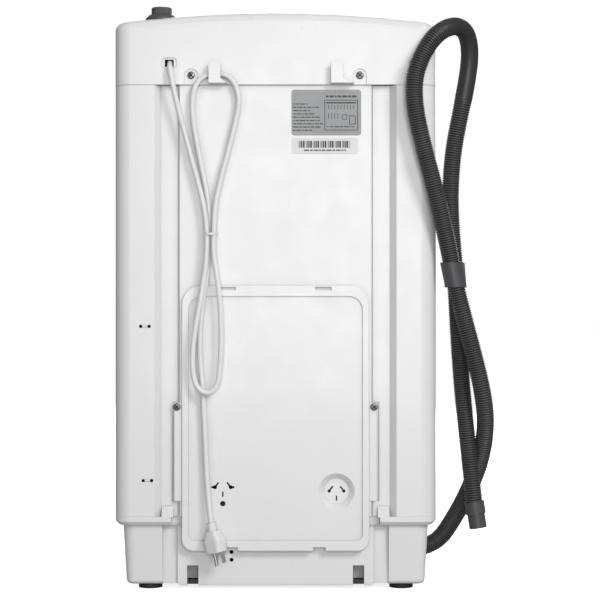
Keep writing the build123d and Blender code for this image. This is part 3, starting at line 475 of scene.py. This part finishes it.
def perforated(material):
    """Dark drain holes in rows round the basket's upright wall."""
    tree = material.node_tree
    coords = tree.nodes.new("ShaderNodeTexCoord").outputs["Object"]
    split = tree.nodes.new("ShaderNodeSeparateXYZ")
    tree.links.new(coords, split.inputs["Vector"])
    y = calculate(tree, "ADD", split.outputs["Y"], BASKET_SHIFT)
    turn = calculate(tree, "ARCTAN2", y, split.outputs["X"])
    around = calculate(tree, "MULTIPLY", turn, BASKET_RADIUS)
    across = calculate(tree, "PINGPONG", around, BASKET_HOLE_PITCH / 2)
    along = calculate(tree, "PINGPONG", split.outputs["Z"], BASKET_HOLE_PITCH / 2)
    across_squared = calculate(tree, "POWER", across, 2.0)
    along_squared = calculate(tree, "POWER", along, 2.0)
    away = calculate(tree, "SQRT", calculate(tree, "ADD", across_squared, along_squared))
    rim = (BASKET_HOLE_RADIUS * 0.8, BASKET_HOLE_RADIUS)
    solid = remap(tree, away, 0.0, 1.0, rim)
    darken(material, solid)
    tree.links.new(solid, tree.nodes["Principled BSDF"].inputs["Metallic"])
    return material


def ink_material(name, dark, light):
    """Printed ink, slightly uneven."""
    return moulded(name, dark, light, (0.42, 0.58), (2600, 0.1, 0.00003), cloud=60)


def glow_material(name, colour, strength):
    """Lit segment of a display, with a faint falloff in its light."""
    material, tree, shader = node_material(name)
    where = space(tree)
    uneven = noise(tree, where, 300, 2)
    tree.links.new(blend_colours(tree, uneven, [c * 0.8 for c in colour], colour),
                   shader.inputs["Emission Color"])
    tree.links.new(remap(tree, uneven, 0.3, 0.5), shader.inputs["Roughness"])
    shader.inputs["Emission Strength"].default_value = strength
    return material


def painted_groove_shade(material):
    """Painted shade: darker grooves by the mesh's own ridge values; the crests keep the full
    colour.
    """
    tree = material.node_tree
    ridge = tree.nodes.new("ShaderNodeAttribute")
    ridge.attribute_name = "ridge"
    darken(material, remap(tree, ridge.outputs["Fac"], 0.10, 1.0, (0.25, 0.95)))
    return material


def paint(obj, material):
    """Give a piece or CAD node one material."""
    obj.data.materials.clear()
    obj.data.materials.append(material)
    return obj


# ---- materials: one per slot of the record, and the prints' own --------------------
def make_materials():
    """Every finish by name; a slot's finish has the slot's name."""
    white = ((0.825, 0.825, 0.83), (0.845, 0.845, 0.85))
    return {
        "painted_steel": moulded(
            "painted_steel", *white, (0.30, 0.42), (620, 0.10, 0.00012), edge=0.0009,
            corner_shade=0.45, coat=0.15),
        "white_plastic": moulded(
            "white_plastic", *white, (0.26, 0.38), (1300, 0.08, 0.00008), edge=0.0009,
            corner_shade=0.45, coat=0.1),
        "black_plastic": moulded(
            "black_plastic", (0.012, 0.012, 0.013), (0.022, 0.022, 0.024), (0.42, 0.6),
            (1500, 0.25, 0.00012), edge=0.0006),
        "black_rubber": moulded(
            "black_rubber", (0.011, 0.011, 0.011), (0.024, 0.023, 0.022), (0.6, 0.85),
            (700, 0.35, 0.0003), corner_shade=0.3),
        "steel": moulded(
            "steel", (0.50, 0.51, 0.53), (0.66, 0.67, 0.68), (0.22, 0.42),
            (900, 0.12, 0.00006), stretch=(1, 1, 0.12), metallic=1.0, edge=0.0004),
        "silver_plastic": moulded(
            "silver_plastic", (0.48, 0.49, 0.51), (0.55, 0.56, 0.58), (0.28, 0.4),
            (1600, 0.1, 0.00006), edge=0.0006, metallic=0.35, coat=0.3),
        "grey_plastic": moulded(
            "grey_plastic", (0.055, 0.056, 0.06), (0.085, 0.086, 0.09), (0.36, 0.55),
            (1200, 0.22, 0.00012), edge=0.0005, corner_shade=0.3),
        # the hose's grooves get painted shade
        "hose_grey": painted_groove_shade(moulded(
            "hose_grey", (0.080, 0.080, 0.083), (0.105, 0.105, 0.110), (0.38, 0.50),
            (800, 0.18, 0.00015), cloud=14)),
        "white_vinyl": moulded(
            "white_vinyl", (0.80, 0.80, 0.80), (0.86, 0.86, 0.86), (0.38, 0.52),
            (1800, 0.12, 0.00006), corner_shade=0.4),
        "label_grey": moulded(
            "label_grey", (0.30, 0.305, 0.31), (0.35, 0.355, 0.36), (0.4, 0.52),
            (2400, 0.1, 0.00004), cloud=30),
        "screw_steel": moulded(
            "screw_steel", (0.16, 0.16, 0.165), (0.34, 0.34, 0.35), (0.28, 0.5),
            (1800, 0.2, 0.00006), metallic=1.0, edge=0.0004, corner_shade=0.5),
        "galvanised": moulded(
            "galvanised", (0.42, 0.44, 0.46), (0.66, 0.68, 0.69), (0.3, 0.55),
            (160, 0.15, 0.0002), metallic=0.9, cloud=70),
        "stainless": perforated(moulded(
            "stainless", (0.50, 0.50, 0.51), (0.62, 0.62, 0.62), (0.2, 0.36),
            (1500, 0.12, 0.00005), stretch=(1, 1, 0.05), metallic=1.0)),
        "blue_plastic": moulded(
            "blue_plastic", (0.10, 0.22, 0.42), (0.14, 0.29, 0.52), (0.3, 0.45),
            (1400, 0.1, 0.0001), edge=0.0005),
        "pale_plastic": moulded(
            "pale_plastic", (0.55, 0.60, 0.65), (0.62, 0.67, 0.72), (0.22, 0.36),
            (1400, 0.08, 0.00008), coat=0.2),
        "cast_alloy": moulded(
            "cast_alloy", (0.36, 0.36, 0.37), (0.52, 0.52, 0.53), (0.42, 0.62),
            (420, 0.4, 0.0003), metallic=0.9, edge=0.0008, corner_shade=0.5),
        "motor_paint": moulded(
            "motor_paint", (0.03, 0.032, 0.035), (0.05, 0.053, 0.057), (0.35, 0.5),
            (500, 0.2, 0.0002), edge=0.0006, corner_shade=0.3),
        "button_plastic": moulded(
            "button_plastic", (0.70, 0.71, 0.72), (0.76, 0.77, 0.78), (0.16, 0.26),
            (1800, 0.06, 0.00005), coat=0.4),
        "paper": moulded(
            "paper", (0.76, 0.76, 0.755), (0.84, 0.84, 0.835), (0.5, 0.65),
            (2600, 0.18, 0.00005), cloud=40),
        "pale_ink": ink_material("pale_ink", (0.42, 0.425, 0.43), (0.48, 0.485, 0.49)),
        "dark_ink": ink_material("dark_ink", (0.03, 0.03, 0.033), (0.05, 0.05, 0.054)),
        "digits": glow_material("digits", (0.35, 0.85, 1.0), 3.0),
        "clear_plastic": clear_material("clear_plastic", (0.80, 0.86, 0.90), 0.03),
        "dark_window": clear_material("dark_window", (0.10, 0.11, 0.13), 0.05),
    }


# ---- prints and labels ------------------------------------------------------------
def printed_bars(name, bars, frame_of, material, slot_name, body="root"):
    """Thin printed bars: (across, up, width, height) in frame_of's x and y."""
    bm = bmesh.new()
    normal = frame_of.to_3x3() @ Vector((0, 0, 1))
    for across, up, width, height in bars:
        signs = ((-1, -1), (1, -1), (1, 1), (-1, 1))
        corners = [frame_of @ Vector((across + a * width / 2, up + b * height / 2, 0))
                   for a, b in signs]
        slab(bm, corners, PRINT, normal)
    return piece(paint(mesh_object(name, bm, smooth=False), material), body, slot_name)


def print_line(start, up, width, height, first):
    """Bars of uneven length with gaps, read as one line of small print."""
    bars = []
    done = 0.0
    word = first
    while done < width - 0.002:
        length = min(WORD_SHORTEST + WORD_STEP * (word * 7 % 5), width - done)
        bars.append((start + done + length / 2, up, length, height))
        done += length + WORD_GAP
        word += 1
    return bars


def outline(across, up, width, height, line):
    """Four bars round a rectangle."""
    return [
        (across, up + height / 2, width, line), (across, up - height / 2, width, line),
        (across - width / 2, up, line, height), (across + width / 2, up, line, height),
    ]


def plate_diagram():
    """Bars of the plate's heading and of its made-up wiring diagram."""
    bars = print_line(-0.0005, 0.0216, 0.041, 0.0024, 3)
    bars += outline(0.0200, -0.0035, 0.0440, 0.0400, 0.0009)
    bars += [(0.0200, 0.0130, 0.0400, 0.0018)]
    bars += [(0.003 + TICK_PITCH * k, 0.0075, 0.0008, 0.0055) for k in range(9)]
    bars += [(0.003 + TICK_PITCH * k, -0.0045, 0.0008, 0.0075) for k in range(4)]
    bars += outline(0.0245, -0.0060, 0.0060, 0.0060, 0.0008)
    bars += outline(0.0350, -0.0100, 0.0080, 0.0110, 0.0008)
    bars += print_line(0.0010, -0.0190, 0.036, 0.0012, 5)
    return bars


def code_bars():
    """Upright bars of uneven width that encode nothing."""
    bars = []
    across = -0.0350
    step = 0
    while across < 0.034:
        width = CODE_BAR + CODE_BAR * (step * 5 % 4)
        bars.append((across + width / 2, 0.0020, width, 0.0092))
        across += width + 0.0007 + 0.0009 * (step * 3 % 4 == 1)
        step += 1
    return bars


def make_rear_prints():
    """Generic rating plate print, and the bar code on its paper label."""
    low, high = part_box("rear_labels")
    middle = (low.x + high.x) / 2
    dark = FINISHES["dark_ink"]
    plate = axis_frame((middle, high.y, high.z - 0.0305), REARWARD, RIGHT_FROM_BEHIND)
    lines = []
    for k, width in enumerate(PLATE_LINES):
        lines += print_line(-0.0448, 0.0114 - PLATE_LINE_PITCH * k, width, 0.0014, k)
    printed_bars("plate_lines", lines, plate, dark, "label_grey")
    printed_bars("plate_diagram", plate_diagram(), plate, dark, "label_grey")
    border = outline(0.0, 0.0, 0.0890, 0.0570, 0.0006)
    printed_bars("plate_border", border, plate, FINISHES["pale_ink"], "label_grey")

    spot = Vector((middle + 0.002, high.y - 0.0001, low.z + 0.0105))
    sticker = axis_frame(spot, REARWARD, RIGHT_FROM_BEHIND)
    paper = [(0, 0, *PAPER_SIZE)]
    printed_bars("paper_face", paper, sticker, FINISHES["paper"], "label_grey")
    on_paper = axis_frame(spot + Vector(REARWARD) * PRINT, REARWARD, RIGHT_FROM_BEHIND)
    code = code_bars() + print_line(-0.0280, -0.0060, 0.056, 0.0018, 2)
    printed_bars("bar_code", code, on_paper, dark, "label_grey")


def make_notch_shade():
    """Grey patch on the wall behind each skirt notch: painted shade, where the notch lies in
    shadow.
    """
    shade_patch = [(0, 0, *NOTCH_SHADE)]
    grey = FINISHES["label_grey"]
    for side in (1, -1):
        spot = (side * NOTCH_X, NOTCH_WALL_Y, NOTCH_Z)
        wall = axis_frame(spot, REARWARD, RIGHT_FROM_BEHIND)
        printed_bars(f"notch_shade_{side + 1}", shade_patch, wall, grey, "grey_plastic")


# ---- turned and moulded pieces ------------------------------------------------------
def make_screws():
    """Pan-head screws with a crossed recess, on the rear screws' places."""
    low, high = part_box("rear_screws")
    head = high.x - SCREW_LOW_X
    profile = [
        (0, -0.0022), (head, -0.0022), (head, -0.0012), (head * 0.86, -0.0005),
        (head * 0.6, -0.0002), (0, -0.00015),
    ]
    cross = [(0, 0, head * 1.4, head * 0.4), (0, 0, head * 0.4, head * 1.4)]
    places = [Vector((side * SCREW_TOP_X, high.y, high.z - head)) for side in (1, -1)]
    places += [Vector((side * SCREW_LOW_X, high.y - 0.0013, low.z + head)) for side in (1, -1)]
    for k, place in enumerate(places):
        screw = turned(f"screw_head_{k}", profile, axis_frame(place, REARWARD, (1, 0, 0)), 40)
        piece(paint(screw, FINISHES["screw_steel"]), "root", "screw_steel", "rear_screws")
        top = axis_frame(place + Vector((0, -0.00014, 0)), REARWARD, (1, 0, 1))
        printed_bars(f"screw_recess_{k}", cross, top, FINISHES["dark_ink"], "screw_steel")


def make_inlet():
    """Ribbed inlet stub on a flared gasket."""
    low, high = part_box("inlet_spigot")
    middle = (low + high) / 2
    place = Matrix.Translation((middle.x, middle.y, high.z))
    profile = [
        (0, -0.034), (0.0118, -0.034), (0.0118, -0.0200), (0.0216, -0.0200), (0.0216, -0.0148),
        (0.0205, -0.0138), (0.0168, -0.0102), (0.0142, -0.0094), (0.0138, -0.0086),
        (0.0138, -0.0020), (0.0138, -0.0012), (0.0131, -0.0002), (0.0102, -0.0002),
        (0.0095, -0.0010), (0.0095, -0.0255), (0, -0.0255),
    ]
    stub = turned("inlet_stub", profile, place, 240, INLET_RIBS, INLET_RIB_DEPTH, (8, 9))
    piece(paint(stub, FINISHES["grey_plastic"]), "root", "grey_plastic", "inlet_spigot")


def relief_disc(name, place, radii, around, height, bottom):
    """Closed disc whose top follows height(radius, angle), with a flat bottom."""
    angles = [2 * math.pi * j / around for j in range(around)]
    bm = bmesh.new()

    def point(radius, angle, z):
        spot = Vector((radius * math.cos(angle), radius * math.sin(angle), z))
        return bm.verts.new(place @ spot)

    centre = point(0, 0, height(0, 0))
    rings = [[point(radius, angle, height(radius, angle)) for angle in angles]
             for radius in radii]
    rings.append([point(radii[-1], angle, bottom) for angle in angles])
    for j in range(around):
        bm.faces.new((centre, rings[0][j], rings[0][(j + 1) % around]))
    bridge(bm, rings)
    bm.faces.new(list(reversed(rings[-1])))
    return mesh_object(name, bm)


def pulsator_height(radius, angle):
    """Height of the wash plate's top: dished rim, swept vanes, raised boss."""
    share = radius / PULSATOR_RADIUS
    dish = 0.0125 - 0.011 * share ** 1.5
    turn = math.cos(PULSATOR_VANES * (angle - 0.9 * share))
    vane = max(0.0, turn) ** 3 * math.sin(math.pi * min(1.0, max(0.0, share * 1.08 - 0.08)))
    boss = 1 / (1 + math.exp((radius - PULSATOR_BOSS) / 0.0015))
    ripple = 0.0005 * math.cos(radius * 900) * share
    return max(0.0010, min(0.0228, dish + 0.009 * vane + ripple * (1 - boss) + 0.0095 * boss))


def make_pulsator():
    """Wash plate with six swept vanes."""
    low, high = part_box("pulsator")
    place = Matrix.Translation(((low.x + high.x) / 2, (low.y + high.y) / 2, low.z))
    radii = [PULSATOR_RADIUS * 0.998 * (k + 1) / 60 for k in range(60)]
    disc = relief_disc("wash_plate_moulding", place, radii, 180, pulsator_height, 0.0)
    piece(paint(disc, FINISHES["pale_plastic"]), "wash_plate", "pale_plastic", "pulsator")


def make_buttons():
    """Dished caps with a rounded rim, each on its own body."""
    for name in BUTTONS:
        low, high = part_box(name)
        radius = (high.x - low.x) / 2
        y = low.y + radius * abs(SLOPE_DOWN.y) + CAP_ABOVE * abs(SLOPE_OUT.y)
        z = high.z - CAP_ABOVE * SLOPE_OUT.z - radius * abs(SLOPE_DOWN.z)
        place = axis_frame(((low.x + high.x) / 2, y, z), SLOPE_OUT, (1, 0, 0))
        profile = [
            (0, -CAP_BELOW), (0.0024, -CAP_BELOW), (0.0024, -0.0015), (radius - 0.0001, -0.0015),
            (radius - 0.0001, CAP_ABOVE - 0.0012), (radius - 0.0006, CAP_ABOVE - 0.0004),
            (radius - 0.0014, CAP_ABOVE - 0.0001), (radius - 0.0024, CAP_ABOVE - 0.0005),
            (0.0025, CAP_ABOVE - 0.0012), (0, CAP_ABOVE - 0.0013),
        ]
        cap = turned(f"{name}_cap", profile, place, 64)
        piece(paint(cap, FINISHES["button_plastic"]), name, "button_plastic", name)


def digit_bars(across, segments):
    """Bars of one seven-segment digit, 8 mm wide and 15 mm high."""
    places = {
        "a": (0, 0.007, 0.0052, 0.0012),
        "b": (0.0034, 0.0035, 0.0012, 0.0052),
        "c": (0.0034, -0.0035, 0.0012, 0.0052),
        "d": (0, -0.007, 0.0052, 0.0012),
        "e": (-0.0034, -0.0035, 0.0012, 0.0052),
        "f": (-0.0034, 0.0035, 0.0012, 0.0052),
        "g": (0, 0, 0.0052, 0.0012),
    }
    return [(across + places[k][0], *places[k][1:]) for k in segments]


def make_fascia_prints():
    """Generic marks over the buttons, and the display's digits."""
    low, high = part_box("control_panel")
    face = axis_frame((low + high) / 2 + SLOPE_OUT * 0.00201, SLOPE_OUT, (1, 0, 0))
    marks = []
    for k, name in enumerate(BUTTONS):
        button_low, button_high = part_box(name)
        across = (button_low.x + button_high.x) / 2
        marks += print_line(across - 0.009, 0.0165, 0.018, 0.0016, k)
        marks += print_line(across - 0.006, 0.0130, 0.012, 0.0010, k + 2)
        marks += print_line(across - 0.008, -0.0145, 0.016, 0.0012, k + 4)
    marks += [(-0.042, 0.0230, 0.082, 0.0006), (-0.042, -0.0210, 0.082, 0.0006)]
    printed_bars("fascia_marks", marks, face, FINISHES["dark_ink"], "silver_plastic")

    low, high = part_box("display_window")
    screen = axis_frame((low + high) / 2 + SLOPE_OUT * 0.00101, SLOPE_OUT, (1, 0, 0))
    bars = digit_bars(-0.022, "abged")
    bars += digit_bars(-0.010, "abcdef")
    bars += digit_bars(0.006, "afgcd")
    bars += [(-0.002, 0.003, 0.0013, 0.0013), (-0.002, -0.003, 0.0013, 0.0013)]
    bars += print_line(0.016, 0.0060, 0.014, 0.0012, 1)
    bars += print_line(0.016, 0.0, 0.014, 0.0012, 3)
    printed_bars("display_digits", bars, screen, FINISHES["digits"], "dark_window")


def make_lint_filter():
    """Lint trap: a rounded block with a row of slots across its face."""
    low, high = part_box("lint_filter")
    middle = (low + high) / 2
    size = high - low - Vector((0.001, 0.001, 0.001))
    bm = bmesh.new()
    bmesh.ops.create_cube(bm, size=1.0)
    for vert in bm.verts:
        vert.co = middle + vert.co * size
    trap = soft_edges(mesh_object("lint_trap", bm), 0.004, 5)
    piece(paint(trap, FINISHES["blue_plastic"]), "basket", "blue_plastic", "lint_filter")
    front = axis_frame((middle.x, low.y + 0.0005 - PRINT, middle.z), FRONTWARD, (1, 0, 0))
    bars = [(0, -0.048 + 0.006 * k, 0.036, 0.0022) for k in range(17)]
    printed_bars("lint_slots", bars, front, FINISHES["dark_ink"], "blue_plastic", "basket")


def stretching(obj, node_name):
    """Bake the placement of a piece that runs between the frame and the tub into its
    mesh, and hide the node it stands for."""
    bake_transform(obj)
    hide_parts(node_name)


def coil_line(x, y, radius, foot, height):
    """Points along a coil whose end turns lie closer together."""
    steps = 24
    count = int(SPRING_TURNS * steps)
    points = []
    for k in range(count + 1):
        angle = 2 * math.pi * k / steps
        share = k / count
        rise = share + 0.035 * math.sin(2 * math.pi * share * 2)
        rise = min(1.0, max(0.0, rise))
        across = x + radius * math.cos(angle)
        points.append(Vector((across, y + radius * math.sin(angle), foot + height * rise)))
    return points


def make_springs():
    """Four coil springs with closed end coils, on the tub's rods."""
    low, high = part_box("suspension_springs")
    radius = (high.x - low.x) / 2 - SPRING_X - SPRING_WIRE
    height = high.z - low.z - 2 * SPRING_WIRE
    bm = bmesh.new()
    for sx in (1, -1):
        for sy in (1, -1):
            y = sy * SPRING_DY - BASKET_SHIFT
            points = coil_line(sx * SPRING_X, y, radius, low.z + SPRING_WIRE, height)
            frames = path_frames(points, 0.0018)
            coil = ring_tube("coil", frames, [SPRING_WIRE] * len(frames), 10)
            bm.from_mesh(coil.data)
            bpy.data.objects.remove(coil)
    springs = paint(mesh_object("coil_springs", bm), FINISHES["steel"])
    stretching(springs, "suspension_springs")


def make_bellows():
    """Rubber bellows between the moving tub and the fixed outlet."""
    low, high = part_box("sump_hose")
    middle = (low + high) / 2
    place = Matrix.Translation((middle.x, middle.y, low.z))
    length = high.z - low.z
    crest = (high.x - low.x) / 2
    steps = BELLOWS_FOLDS * 8
    profile = [(0, 0), (0.0150, 0), (0.0152, 0.0005), (0.0152, BELLOWS_CUFF)]
    for k in range(steps + 1):
        wave = 0.5 - 0.5 * math.cos(2 * math.pi * BELLOWS_FOLDS * k / steps)
        height = BELLOWS_CUFF + (length - 2 * BELLOWS_CUFF) * k / steps
        profile.append((0.0151 + (crest - 0.0152) * wave, height + 0.0002))
    profile += [(0.0152, length - 0.0005), (0.0150, length), (0, length)]
    bellows = paint(turned("sump_bellows", profile, place, 56), FINISHES["black_rubber"])
    stretching(bellows, "sump_hose")


# ---- cords -------------------------------------------------------------------------
def make_hose(finish):
    """Corrugated drain hose with rounded ribs, smooth round its top fold."""
    rings_per_rib = 6
    frames = path_frames(spline_points(HOSE_POINTS_MM), HOSE_RIB_PITCH / rings_per_rib)
    fold = max(range(len(frames)), key=lambda k: frames[k][0].z)
    radii = []
    ridges = []
    around = 36
    for k, frame_k in enumerate(frames):
        wave = 0.5 - 0.5 * math.cos(2 * math.pi * k / rings_per_rib)
        limit = HOSE_SMOOTH_Z[0] if k < fold else HOSE_SMOOTH_Z[1]
        share = min(1.0, max(0.0, (limit - frame_k[0].z) / HOSE_FADE))
        radii.append(HOSE_D / 2 - share * HOSE_RIB_DEPTH * (1 - wave ** 0.7))
        # ridge values drive the painted shade of the grooves: 0 in a groove, 1 on a crest
        ridges += [share * wave + (1 - share) * SMOOTH_RIDGE] * around
    hose = ring_tube("ribbed_hose", frames, radii, around)
    hose.data.attributes.new("ridge", "FLOAT", "POINT").data.foreach_set("value", ridges)
    piece(paint(hose, finish), "root", "hose_grey", "drain_hose")


def make_lead(finish):
    """White round mains lead."""
    lead = route_curve("mains_lead", CORD_POINTS_MM, CORD_D / 2)
    piece(paint(lead, finish), "root", "white_vinyl", "power_cord")


# ---- stage and light -----------------------------------------------------------------
def area_light(name, place, aim, size, power):
    """Soft white box pointing from place to aim."""
    data = bpy.data.lights.new(name, "AREA")
    data.shape = "RECTANGLE"
    data.size, data.size_y = size
    data.energy = power
    obj = bpy.data.objects.new(name, data)
    obj.location = place
    direction = Vector(aim) - Vector(place)
    obj.rotation_euler = direction.to_track_quat("-Z", "Y").to_euler()
    bpy.context.collection.objects.link(obj)


def make_floor():
    """Plain white floor that runs to the horizon."""
    bm = bmesh.new()
    bmesh.ops.create_grid(bm, x_segments=24, y_segments=24, size=40.0)
    floor = mesh_object("studio_floor", bm)
    floor.location.z = -0.0002
    material, tree, shader = node_material("studio_floor")
    where = space(tree)
    tree.links.new(
        blend_colours(tree, noise(tree, where, 1.5, 2), (0.93,) * 3, (0.95,) * 3),
        shader.inputs["Base Color"])
    shader.inputs["Roughness"].default_value = 0.9
    shader.inputs["Specular IOR Level"].default_value = 0.1
    shader.inputs["Emission Color"].default_value = (1, 1, 1, 1)
    shader.inputs["Emission Strength"].default_value = 0.80
    paint(floor, material)
    floor.visible_diffuse = False
    floor.visible_glossy = False


def make_surroundings():
    """White surroundings, brighter to the camera than to the object."""
    world = bpy.data.worlds.new("studio")
    world.use_nodes = True
    bpy.context.scene.world = world
    tree = world.node_tree
    background = tree.nodes["Background"]
    background.inputs["Color"].default_value = (1, 1, 1, 1)
    seen = tree.nodes.new("ShaderNodeLightPath").outputs["Is Camera Ray"]
    tree.links.new(remap(tree, seen, 0.23, 1.05, (0, 1)), background.inputs["Strength"])


def make_lights():
    """Soft boxes: two behind the machine, where it is seen from, and two to fill."""
    area_light("key", (-1.5, 2.6, 1.9), (0, 0.1, 0.45), (0.9, 0.9), 42)
    area_light("front_fill", (-0.2, 3.8, 0.7), (0, 0.1, 0.3), (1.4, 1.4), 46)
    area_light("high", (0.0, 0.2, 2.9), (0, 0, 0.6), (2.2, 2.2), 4)
    area_light("far_side", (-0.6, -3.0, 1.7), (0, 0, 0.4), (2.2, 1.8), 72)


# ---- the pieces -----------------------------------------------------------------------
make_camera()
FINISHES = make_materials()
for node_name, node in NODES.items():
    paint(node, FINISHES[SLOT_OF[node_name]])
make_hose(FINISHES["hose_grey"])
make_lead(FINISHES["white_vinyl"])
make_rear_prints()
make_notch_shade()
make_screws()
make_inlet()
make_pulsator()
make_buttons()
make_fascia_prints()
make_lint_filter()
make_springs()
make_bellows()
make_floor()
make_surroundings()
make_lights()
bpy.context.scene.view_settings.view_transform = "Standard"
